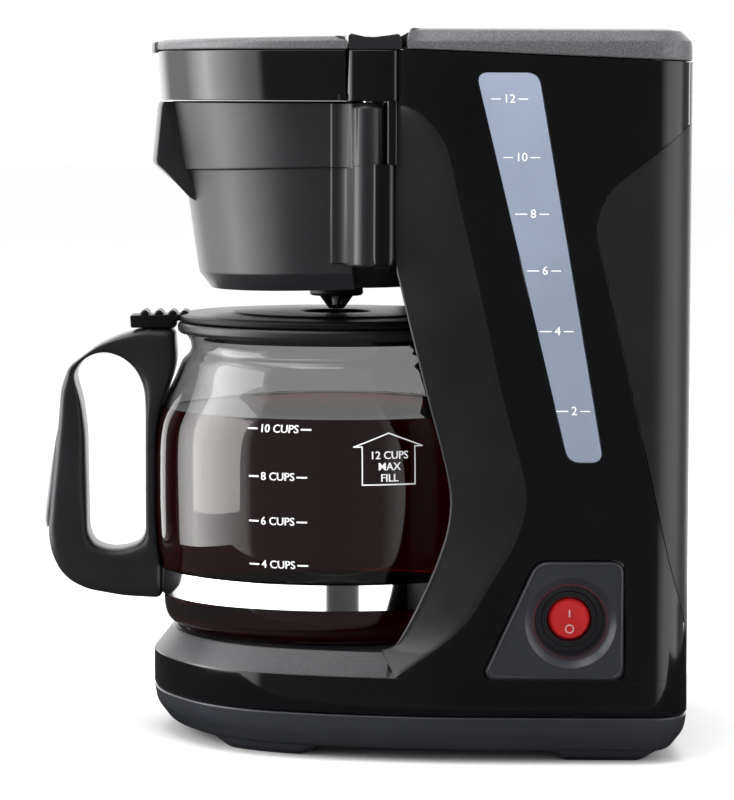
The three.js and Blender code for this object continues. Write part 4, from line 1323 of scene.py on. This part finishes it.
@dataclass
class Basket:
    """The swing-out brew basket with its grip, knuckle, filter cone and drip valve."""

    hinge: Pair = (84.0, 13.4)
    knuckle: float = 6.5

    def ring(self, inset: float, z: float) -> Array:
        """The basket's plan at one inset: the offset front, a flat return and half an ellipse.

        Args:
            inset: how far the front is drawn in from the housing's plan.
            z: the height; the lower edges climb 3.6 % towards the hinge.

        Returns:
            The ring.
        """
        line = PLAN.front_line(2.6, 190)
        along = np.gradient(line, axis=0)
        along /= np.linalg.norm(along, axis=1)[:, None]
        front = line + inset * np.stack([-along[:, 1], along[:, 0]], 1)
        end = np.array([front[-1, 0] - 0.9, 4.4])
        angle = np.linspace(0, math.pi, 90)
        rear = np.column_stack([(74 - inset) * np.cos(angle), 4.6 + (54 - 0.7 * inset) * np.sin(angle)])
        right = segment(tuple(end), tuple(rear[0]), 10)
        left = segment(tuple(rear[-1]), (-end[0], end[1]), 10)[1:]
        loop = np.concatenate([front, right, rear, left, [(-end[0], end[1])]])
        climb = 0.036 * np.clip(loop[:, 1] + 26, -60, 34) * min(1.0, max(0.0, (262 - z) / 12))
        return lift(loop, z + climb)

    def rings(self, profile: list) -> Array:
        """The plan carried along a profile of inset and height."""
        return np.stack([self.ring(inset, z) for inset, z in profile])

    def build(self) -> None:
        """Makes every piece of the basket."""
        self.holder()
        self.filter_cone()
        self.valve()

    def holder(self) -> None:
        """The holder's shell, the wedge grip in front, and the hinge knuckle."""
        outer = eased([(30.0, 187.9), (24.2, 187.9), (19.6, 194.0), (19.1, 194.7), (18.9, 195.2),
                       (12.6, 237.9),
                       (10.5, 238.1), (10.2, 238.7), (6.0, 264.6), (8.4, 265.0)], 0.35)
        inner = eased([(8.6, 264.8), (14.8, 238.5), (21.9, 195), (25.0, 190.6), (30.0, 190.4)], 1.2)
        rows = self.rings([*outer, *inner])
        bottom = closing(rows[0], 8)[::-1]
        floor = closing(rows[-1], 8)
        maker = MeshMaker("basket_shell")
        maker.grid(np.concatenate([bottom, rows, floor]), True, 0, True)
        self.grip(maker)
        x, y = self.hinge
        r = self.knuckle
        profile = eased([(0.2, 199.6), (r - 0.8, 199.6), (r - 0.2, 200.4), (r - 0.2, 239.4), (r, 239.9),
                         (r, 262.7), (r - 1.9, 264.9), (0.2, 264.9)], 0.35)
        barrel = turned(profile, 120, (x, y))
        around = np.arctan2(barrel[:, :, 1] - y, barrel[:, :, 0] - x)
        groove = sum(np.exp(-(((around - a) / 0.055) ** 2)) for a in (-0.80, 0.80))
        tall = ((barrel[:, :, 2] > 240.5) & (barrel[:, :, 2] < 264)).astype(float)
        pull = 1 - 0.075 * groove * tall
        barrel[:, :, 0] = x + (barrel[:, :, 0] - x) * pull
        barrel[:, :, 1] = y + (barrel[:, :, 1] - y) * pull
        maker.grid(barrel, True, 0, True)
        maker.grid(self.web([(238.6, 11.2), (239.0, 10.4), (264.3, 6.2), (264.6, 7.0)]), True, 0, True)
        maker.grid(self.web([(199.8, 19.0), (200.4, 18.3), (237.7, 12.9), (238.9, 12.6)]), True, 0, True)
        maker.finish("brew_basket", [SATIN], ("basket_holder",), "satin_black", sharp=34)

    def web(self, levels: list) -> Array:
        """The web between the basket's side and the knuckle.

        Args:
            levels: pairs of height and how far the basket's side is drawn in there.

        Returns:
            One outline per level, flush with the basket's side on its outer edge.
        """
        rows = []
        for z, inset in levels:
            edge = 88.3 - inset
            corners = [(edge - 12, -2.0), (edge - 0.6, -2.0), (edge + 0.1, 2.0), (edge + 1.6, 4.6),
                       (84.6, 7.4),
                       (84.0, self.hinge[1]), (78.5, 11.0), (edge - 12, 9.0)]
            rows.append(lift(rounded(corners, 1.4), z))
        return np.stack(rows)

    def grip(self, maker: MeshMaker) -> None:
        """The wedge grip: a side outline carried across, its front bowed by x * x / 172."""
        outline = rounded([(-56, 222.5), (-61.3, 225.2), (-76.9, 238.9), (-77.3, 240.4), (-75.0, 263.4),
                           (-74.3, 264.7), (-56, 264.7)], 0.9)[::-1]
        half = 21.5
        rings = slab_x(outline, -half, half, 0.5)
        extra = []
        for w in np.linspace(0, 1, 14)[1:-1]:
            extra.append(rings[2] * (1 - w) + rings[3] * w)
        rows = np.concatenate([rings[:3], np.stack(extra), rings[3:]])
        ahead = np.clip((-60 - rows[:, :, 1]) / 14, 0, 1)
        rows[:, :, 1] += ahead * rows[:, :, 0] ** 2 / 172
        maker.grid(rows, True, 0, True)

    def filter_cone(self) -> None:
        """The filter cone: radius rises with height, its inner wall fluted by 0.5 * cos(30 a)."""
        profile = eased([(0.2, 203), (38, 203), (40, 204), (50.2, 261), (51.5, 261.4), (51.5, 263),
                         (49.3, 263), (38.2, 205.6), (36, 204.7), (0.2, 204.6)], 0.5)
        rows = turned(profile, 240, (0, -3))
        angle = once_round(240)
        flutes = np.zeros(len(rows))
        heights = rows[:, 0, 2]
        inside = np.arange(len(rows)) > len(rows) * 0.62
        flutes[inside & (heights > 208) & (heights < 260)] = 1
        wave = 1 + (0.5 * np.cos(30 * angle))[None] * flutes[:, None] / 45
        rows[:, :, 0] *= wave
        rows[:, :, 1] = -3 + (rows[:, :, 1] + 3) * wave
        maker = MeshMaker("filter_cone")
        maker.grid(rows, True, 0, True)
        maker.finish("brew_basket", [SATIN], ("filter_basket",), "satin_black")

    def valve(self) -> None:
        """The drip valve: hub, six ribs, the light post with its cross bar, and the moving tip."""
        hub = MeshMaker("valve_hub")
        profile = eased([(3.0, 187.3), (3.0, 183.7), (10.4, 183.6), (11.3, 184.4), (11.3, 186.6),
                         (10.6, 187.35),
                         (3.0, 187.35)], 0.4)
        hub.grid(turned(profile, 64), True)
        for k in range(6):
            turn = math.pi * k / 3 + math.pi / 12
            outline = rounded([(2.3, 178.3), (3.5, 178.4), (7.6, 183.9), (3.2, 183.9)], 0.5, 4)
            ring = slab_x(outline, -0.55, 0.55, 0.12)
            across, out, z = ring[:, :, 0], ring[:, :, 1], ring[:, :, 2]
            x = out * math.cos(turn) - across * math.sin(turn)
            y = out * math.sin(turn) + across * math.cos(turn)
            hub.grid(np.stack([x, y, z], -1), True, 0, True)
        collar = [(1.9, 178.0), (3.2, 178.1), (3.6, 178.9), (2.9, 179.6), (1.9, 179.5), (1.9, 178.0)]
        hub.grid(turned(collar, 32), True)
        hub.finish("brew_basket", [SATIN], ("valve_guard",), "satin_black")
        dress("valve_cage", SATIN)
        tip = MeshMaker("valve_post")
        profile = eased([(0.1, 177.6), (1.0, 177.7), (1.7, 178.6), (1.7, 182.2), (2.7, 182.5),
                         (2.7, 183.3),
                         (1.7, 183.5), (1.7, 191.9), (6.0, 191.9), (6.0, 193.2), (0.1, 193.4)], 0.25)
        tip.grid(turned(profile, 32), True, 0, True)
        tip.finish("drip_valve", [SILVER], ("valve_stem",), "silver_trim")
        dress("valve_seal", SILICONE)
        spring = MeshMaker("valve_coil")
        t = np.linspace(0, 1, 180)
        spin = t * 2 * math.pi * 4.5
        centre = np.column_stack([4.3 * np.cos(spin), 4.3 * np.sin(spin), 194.3 + 4.7 * t])
        around = once_round(8)
        out = np.column_stack([np.cos(spin), np.sin(spin), np.zeros(180)])
        rows = centre[:, None] + 0.35 * (np.cos(around)[None, :, None] * out[:, None]
                                         + np.sin(around)[None, :, None] * np.array([0, 0, 1.0]))
        spring.grid(rows, True, 0, True)
        spring.finish("drip_valve", [STEEL], ("valve_spring",), "steel")


# ---------------------------------------------------------------- carafe


@dataclass
class Carafe:
    """The glass carafe with its coffee, band, handle and lid."""

    outer: tuple = (
        (0.05, 44.5), (40, 44.5), (60, 44.55), (66, 45.3), (69.5, 46.9), (71.6, 50), (72.5, 55),
        (72.9, 62),
        (73.4, 69), (75.5, 80), (76.2, 92), (76.4, 106), (76.3, 120), (75.6, 129), (74.0, 135.6),
        (71.2, 142.4),
        (68.2, 148.6), (66.3, 153.4), (64.6, 157.4), (62.2, 160.6), (61.8, 162.6), (62.5, 165),
        (64.1, 168),
        (64.2, 170.2),
    )
    wall: float = 2.2
    level: float = 136.0
    marks: tuple = ((10, 133.0), (8, 113.7), (6, 95.5), (4, 77.7))

    def build(self) -> None:
        """Makes every piece of the carafe."""
        self.glass()
        self.coffee()
        self.printing()
        self.metalwork()
        self.handle()
        self.lid()

    def profile(self, count: int = 150) -> Array:
        """The outer profile as a smooth line."""
        line = spline(list(self.outer), np.linspace(0, 1, count))
        line[:, 0] = np.maximum(line[:, 0], 0.05)
        return smoothed(line, 2)

    def inner_profile(self) -> Array:
        """The outer profile moved in by the wall, thicker under the bottom."""
        line = self.profile()
        along = np.gradient(line, axis=0)
        along /= np.linalg.norm(along, axis=1)[:, None]
        moved = line + self.wall * np.column_stack([-along[:, 1], along[:, 0]])
        moved[:, 0] = np.maximum(moved[:, 0], 0.05)
        moved[:, 1] = np.minimum(np.maximum(moved[:, 1], 47.0), 170.2)
        return moved

    def radius_at(self, z: Array) -> Array:
        """The glass's outer radius at each height."""
        line = self.profile()
        upper = line[line[:, 1] > 50]
        return np.interp(z, upper[:, 1], upper[:, 0])

    def glass(self) -> None:
        """The glass: its profile up the outside, round the rim and down the inside."""
        line = np.concatenate([self.profile(), [(63.2, 170.7)], self.inner_profile()[::-1]])
        maker = MeshMaker("carafe_bowl")
        maker.grid(turned(line, 144), True, 0, True)
        maker.finish("carafe", [GLASS], ("carafe_glass",), "clear_glass", sharp=60)

    def coffee(self) -> None:
        """The coffee: it fills the inner profile to its level and climbs 0.8 mm at the wall."""
        inner = self.inner_profile()
        wet = inner[inner[:, 1] < self.level]
        wet = wet + (0.25, 0.0)
        wet[:, 1] = np.maximum(wet[:, 1] - 0.2, 46.8)
        edge = float(np.interp(self.level, inner[:, 1], inner[:, 0])) + 0.25
        surface = [(edge, self.level + 0.7), (edge - 0.8, self.level + 0.2), (edge - 2.5, self.level),
                   (edge * 0.6, self.level), (0.05, self.level)]
        maker = MeshMaker("coffee_fill")
        maker.grid(turned(np.concatenate([wet, surface]), 144), True, 0, True)
        maker.finish("carafe", [COFFEE], (), "clear_glass", sharp=50)

    def wrap(self, maker: MeshMaker, points: Array, faces: list, centre: float) -> None:
        """Lays flat printed points (across, height) on the glass about an angle in degrees."""
        radius = self.radius_at(points[:, 1]) + 0.12
        angle = math.radians(centre) + points[:, 0] / radius
        placed = np.column_stack([radius * np.cos(angle), radius * np.sin(angle), points[:, 1]])
        maker.patch(placed, faces)

    def printing(self) -> None:
        """Generic measuring marks: cups with a dash each side, and an arrow box for the most."""
        maker = MeshMaker("carafe_marks")
        for cups, z in self.marks:
            points, faces = lettering(f"{cups} CUPS", 3.3)
            half = np.abs(points[:, 0]).max()
            self.wrap(maker, points + (0, z), faces, -17.6)
            self.wrap(maker, points + (0.16, z), faces, -17.6)
            for x0, x1 in ((-half - 5.4, -half - 1.0), (half + 1.0, half + 5.4)):
                self.wrap(maker, *bar_mark(x0, x1, z - 0.35, z + 0.35), -17.6)
        outline = np.array([(-11.2, 110.8), (11.2, 110.8), (11.2, 126.2), (14.6, 126.2), (0, 131.6),
                            (-14.6, 126.2), (-11.2, 126.2)])
        for a, b in zip(outline, np.roll(outline, -1, 0)):
            along = (b - a) / np.linalg.norm(b - a)
            across = 0.26 * np.array([-along[1], along[0]])
            w = np.linspace(0, 1, 9)[:, None]
            a2, b2 = a - 0.2 * along, b + 0.2 * along
            line = a2 * (1 - w) + b2 * w
            points = np.concatenate([line + across, line - across])
            faces = [[i, i + 1, i + 10, i + 9] for i in range(8)]
            self.wrap(maker, points, faces, 16.9)
        for text, z in (("12 CUPS", 122.6), ("MAX", 118.0), ("FILL", 113.4)):
            points, faces = lettering(text, 3.2)
            self.wrap(maker, points + (0, z), faces, 16.9)
            self.wrap(maker, points + (0.16, z), faces, 16.9)
        maker.finish("carafe", [PRINT], (), "clear_glass")

    def metalwork(self) -> None:
        """The chrome band and the collar round the rim."""
        band = MeshMaker("chrome_band_ring")
        z = np.linspace(59.2, 69.6, 12)
        out = np.linspace(74.25, 73.9, 12) + 0.10 * np.sin(np.linspace(0, math.pi, 12))
        line = [(self.radius_at(59.4) + 0.15, 59.4), *zip(out, z), (self.radius_at(69.4) + 0.15, 69.4),
                (self.radius_at(59.4) + 0.15, 59.4)]
        band.grid(turned(line, 160), True)
        ring = band.finish("carafe", [CHROME], ("chrome_band",), "chrome")
        bpy.data.collections[BAND_LIGHT].objects.link(ring)
        collar = MeshMaker("carafe_collar")
        profile = eased([(64.5, 170.9), (64.5, 167.9), (65.8, 167.8), (66.9, 169.2), (66.9, 171.2),
                         (66.0, 172.5),
                         (60.6, 172.6), (60.5, 170.9), (64.5, 170.9)], 0.7)
        collar.grid(turned(profile, 144), True)
        collar.finish("carafe", [SATIN], ("collar_ring",), "satin_black")

    def handle(self) -> None:
        """The handle: a loop of eased oblong sections between its outer and its finger line.

        At each angle about the finger hole the section is a superellipse of power 5, whose long
        half is 12 mm across and whose other half spans from the finger line to the outer line.
        """
        outline = rounded([
            (-67.7, 169.6), (-81.3, 169.8), (-92, 166.6), (-100.2, 162.8), (-112.7, 153.5),
            (-115.9, 144.2),
            (-117.0, 130), (-118.7, 113.5), (-120.5, 96.7), (-121.5, 83.4), (-120.3, 75), (-116.9, 67.4),
            (-111.9, 62.3), (-104.3, 58.9), (-89.3, 56.3), (-73.2, 55.4), (-73.0, 68), (-74.3, 76),
            (-75.3, 90), (-75.3, 124), (-73.6, 136), (-69.8, 146), (-67.6, 153), (-66.9, 158),
        ], 3.0, 5)[::-1]
        hole = rounded([
            (-110.3, 150), (-106.8, 156), (-101.9, 159), (-95.9, 159.6), (-89.2, 157), (-84.1, 152),
            (-80.9, 144.5), (-80.3, 134), (-80.3, 84), (-82.6, 79.4), (-89, 77), (-95.9, 76.6),
            (-101.9, 79), (-104.3, 84), (-105.1, 126), (-106.7, 138.5),
        ], 4.0, 5)[::-1]
        count = 220
        share = np.linspace(0, 1, count, endpoint=False)
        outer = self.by_length(outline, share, (-74.9, 168.0))
        inner = self.matched(outer, hole)
        middle, half = (outer + inner) / 2, (outer - inner) / 2
        around = once_round(40)
        power = 2 / 4.6
        out = swollen(np.cos(around), power)
        wide = 12.0 * swollen(np.sin(around), power)
        yz = middle[:, None] + half[:, None] * out[None, :, None]
        rows = np.concatenate([np.broadcast_to(wide[None, :, None], (count, 40, 1)), yz], 2)
        rows = np.concatenate([rows, rows[:1]])
        maker = MeshMaker("handle_grip")
        maker.grid(rows, True)
        maker.finish("carafe", [SATIN], ("carafe_handle",), "satin_black", sharp=50)
        self.strip()
        dress("carafe_lid_pin", STEEL)

    @staticmethod
    def by_length(loop: Array, share: Array, start: Pair) -> Array:
        """Points at even shares of a closed loop's length, counted from the place nearest start."""
        first = int(np.argmin(np.linalg.norm(loop - start, axis=1)))
        line = np.roll(loop, -first, 0)
        line = np.concatenate([line, line[:1]])
        length = np.concatenate([[0], np.cumsum(np.linalg.norm(np.diff(line, axis=0), axis=1))])
        place = share * length[-1]
        return np.stack([np.interp(place, length, line[:, k]) for k in (0, 1)], 1)

    @staticmethod
    def matched(outer: Array, hole: Array) -> Array:
        """For each outer point, the point of the finger line nearest in a blend of place and turn."""
        middle = hole.mean(0)
        stretch = np.array([1.0, 0.42])
        turn_hole = np.unwrap(np.arctan2(*((hole - middle) * stretch)[:, ::-1].T))
        turn_out = np.unwrap(np.arctan2(*((outer - middle) * stretch)[:, ::-1].T))
        if turn_hole[-1] < turn_hole[0]:
            hole, turn_hole = hole[::-1], turn_hole[::-1]
        base = np.concatenate([turn_hole - 2 * math.pi, turn_hole, turn_hole + 2 * math.pi])
        tripled = np.concatenate([hole, hole, hole])
        wrapped = np.mod(turn_out - turn_hole[0], 2 * math.pi) + turn_hole[0]
        return np.stack([np.interp(wrapped, base, tripled[:, k]) for k in (0, 1)], 1)

    def strip(self) -> None:
        """The silver strip let into the handle's back: a bowed lens section along its length."""
        t = np.linspace(0, 1, 40)
        spine = spline([(-117.4, 127.6), (-119.4, 113.5), (-121.3, 98), (-122.2, 90), (-121.9, 84.8)], t)
        bulge = 2.1 * np.sin(math.pi * np.clip(t, 0.0, 1.0)) ** 0.8
        around = once_round(28)
        across = 7.0 * swollen(np.sin(around), 0.6)
        taper = np.sin(math.pi * np.clip(t, 0.03, 0.97)) ** 0.3
        out = np.cos(around)
        y = spine[:, :1] - np.maximum(out, -0.6)[None] * (bulge * 0.9)[:, None]
        x = across[None] * taper[:, None]
        z = np.broadcast_to(spine[:, 1:], x.shape)
        maker = MeshMaker("handle_inlay")
        maker.grid(np.stack([x, y, z], -1), True, 0, True)
        maker.finish("carafe", [SILVER], ("handle_strip",), "silver_trim", sharp=60)

    def lid(self) -> None:
        """The lid: a turned disc with a funnel, and the thumb lever with four bars across."""
        profile = eased([(3.8, 166), (5.4, 166), (13, 172.9), (56.2, 172.9), (55.6, 166), (57.6, 166),
                         (58.6, 172.9), (65.6, 172.9), (66.2, 173.6), (65.9, 175.2), (64.0, 176.1),
                         (46.0, 176.2),
                         (44.4, 176.3), (43.2, 177.0), (15.6, 177.0), (14.2, 176.6), (3.8, 166)], 0.5)
        maker = MeshMaker("carafe_lid_disc")
        maker.grid(turned(profile, 144), True)
        outline = rounded([(-56, 173.2), (-67.2, 172.95), (-67.6, 170.0), (-86.3, 169.95), (-86.7, 175.2),
                           (-56, 176.0)][::-1], 0.9)
        maker.grid(slab_x(outline, -9.0, 9.0, 0.8), True, 0, True)
        for y in (-80.5, -74.5, -68.8, -63.7):
            maker.grid(bar((y, 175.6), 1.8, -8.4, 8.4, 0.7), True, 0, True)
        lug = rounded([(-75.5, 171), (-75.5, 166.7), (-77.5, 164.9), (-79.9, 164.9), (-81.9, 166.7),
                       (-81.9, 171)][::-1], 1.0)
        maker.grid(slab_x(lug, -5.0, 5.0, 0.3), True, 0, True)
        maker.finish("carafe_lid", [LID_BLACK], ("carafe_lid",), "satin_black", sharp=40)


# ---------------------------------------------------------------- studio


@dataclass
class Studio:
    """The camera, the pale floor and the soft lights round the machine."""

    camera_place: tuple = (1.607, 0.0036, 0.269)
    camera_aim: tuple = (0.0, 0.0036, 0.1392)
    lens: float = 171.5
    roll: float = 0.2
    through: float = 0.24
    panels: tuple = (
        (-180, 0.06), (-150, 0.10), (-128, 2.0), (-92, 2.4), (-78, 0.4), (-46, 0.4), (-36, 2.2),
        (34, 2.6),
        (46, 1.0), (58, 1.5), (80, 7.5), (96, 5.0), (112, 2.6), (121, 1.9), (126, 0.16), (176, 0.06),
    )

    boxes: tuple = (
        ("front_box", (0.25, -1.9, 0.6), (0, -0.05, 0.2), (1.5, 1.6), 30.0),
        ("top_box", (0.1, 0.0, 1.7), (0, 0.0, 0.1), (1.4, 1.4), 22.0),
        ("rear_box", (0.5, 1.9, 0.5), (0, 0.05, 0.15), (0.6, 1.2), 9.0),
    )
    band_cards: tuple = (
        ("band_card_left", (0.235, -0.225, 0.06), (0, -0.0095, 0.06), (0.49, 0.2), 0.6),
        ("band_card_right", (0.34, 0.24, 0.06), (0, -0.0095, 0.06), (0.34, 0.2), 0.4),
    )
    brightest: float = 8.0

    def build(self) -> None:
        """Makes the floor, the surroundings, the lamps, the chrome band's own cards and the camera."""
        self.camera()
        self.floor()
        self.surroundings()
        for row in self.boxes:
            self.lamp(*row)
        lit = bpy.data.collections.new(BAND_LIGHT)
        for card in [self.lamp(*row) for row in self.band_cards]:
            card.visible_glossy = True
            card.visible_camera = False
            card.light_linking.receiver_collection = lit

    def camera(self) -> None:
        """A long lens level with the top of the machine, looking along -X."""
        data = bpy.data.cameras.new("camera")
        data.lens = self.lens
        data.sensor_width = 36.0
        data.clip_end = 50.0
        camera = bpy.data.objects.new("camera", data)
        camera.location = self.camera_place
        aim = Vector(self.camera_aim) - Vector(self.camera_place)
        turn = Quaternion((0, 0, 1), math.radians(self.roll))
        camera.rotation_euler = (aim.to_track_quat("-Z", "Y") @ turn).to_euler()
        bpy.context.scene.collection.objects.link(camera)
        bpy.context.scene.camera = camera
        bpy.context.scene.view_settings.view_transform = "Standard"

    def floor(self) -> None:
        """A wide pale floor, and a small card under the machine for its gloss to show."""
        for name, half_x, half_y, shift, z in (("floor", 12.0, 12.0, 0.0, 0.0),
                                               ("floor_card", 0.3, 0.42, -0.1, -0.0006)):
            mesh = bpy.data.meshes.new(name)
            corners = [(shift - half_x, -half_y, z), (shift + half_x, -half_y, z),
                       (shift + half_x, half_y, z), (shift - half_x, half_y, z)]
            mesh.from_pydata(corners, [], [[0, 1, 2, 3]])
            pale = Moulded(name, (0.955, 0.955, 0.955), 0.9, 0.004, 300.0, 0.01, 0.02, 0.1)
            mesh.materials.append(Palette.of(pale))
            card = bpy.data.objects.new(name, mesh)
            bpy.context.scene.collection.objects.link(card)
            card.visible_glossy = name == "floor_card"
            card.visible_camera = name == "floor"
            card.visible_transmission = False

    def surroundings(self) -> None:
        """White to the eye, grey through glass, and for gloss a ring of soft panels.

        The ring is a ramp over the bearing round the machine, times a fade with the elevation;
        a panel overhead is added to it.
        """
        tree = Tree(bpy.data.worlds.new("studio"))
        bpy.context.scene.world = tree.owner
        back = tree.nodes["Background"]
        where = tree.node("ShaderNodeTexCoord", {}, {}, "Generated")
        split = tree.node("ShaderNodeSeparateXYZ", {}, {0: where}, "X").socket.node
        x, y, z = (Value(tree, split.outputs[k]) for k in range(3))
        bearing = tree.node("ShaderNodeMath", {"operation": "ARCTAN2"}, {0: y * -1.0, 1: x * -1.0})
        share = bearing * (0.5 / math.pi) + 0.5
        stops = [((degrees + 180) / 360, (level / self.brightest,) * 3) for degrees, level in self.panels]
        ring = Value(tree, tree.ramp(share, stops).socket) * self.brightest
        rise = tree.node("ShaderNodeMapRange", {"interpolation_type": "SMOOTHSTEP"},
                         {"Value": z, "From Min": -0.62, "From Max": -0.30, "To Min": 0.15,
                          "To Max": 1.0})
        fall = tree.node("ShaderNodeMapRange", {"interpolation_type": "SMOOTHSTEP"},
                         {"Value": z, "From Min": 0.80, "From Max": 0.60, "To Min": 0.0, "To Max": 1.0})
        overhead = tree.node("ShaderNodeMapRange", {"interpolation_type": "SMOOTHSTEP"},
                             {"Value": z, "From Min": 0.72, "From Max": 0.86, "To Min": 0.0,
                              "To Max": 4.5})
        sideways = tree.node("ShaderNodeMapRange", {"interpolation_type": "SMOOTHSTEP"},
                             {"Value": y, "From Min": 0.08, "From Max": -0.42, "To Min": 0.15,
                              "To Max": 1.0})
        gloss = ring * rise * fall + overhead * sideways
        path = tree.node("ShaderNodeLightPath", {}, {}, "Is Glossy Ray").socket.node
        seen = tree.node("ShaderNodeMix", {"data_type": "FLOAT"},
                         {0: Value(tree, path.outputs["Is Glossy Ray"]), 2: 1.0, 3: gloss})
        choice = tree.node("ShaderNodeMix", {"data_type": "FLOAT"},
                           {0: Value(tree, path.outputs["Is Transmission Ray"]), 2: seen,
                            3: self.through})
        tree.links.new(choice.socket, back.inputs["Color"])

    @staticmethod
    def lamp(name: str, place: tuple, aim: tuple, size: Pair, power: float) -> bpy.types.Object:
        """A soft oblong lamp turned to a point."""
        data = bpy.data.lights.new(name, "AREA")
        data.shape = "RECTANGLE"
        data.size, data.size_y = size
        data.energy = power
        light = bpy.data.objects.new(name, data)
        light.visible_glossy = False
        light.location = place
        light.rotation_euler = (Vector(aim) - Vector(place)).to_track_quat("-Z", "Y").to_euler()
        bpy.context.scene.collection.objects.link(light)
        return light


def main() -> None:
    """Builds the studio and every sub-assembly in order."""
    logging.basicConfig(level=logging.INFO, format="%(name)s %(message)s")
    for part in (Studio(), Base(), Tower(), Head(), Switch(), Basket(), Carafe()):
        LOG.info("building %s", type(part).__name__)
        part.build()


if __name__ == "__main__":
    main()
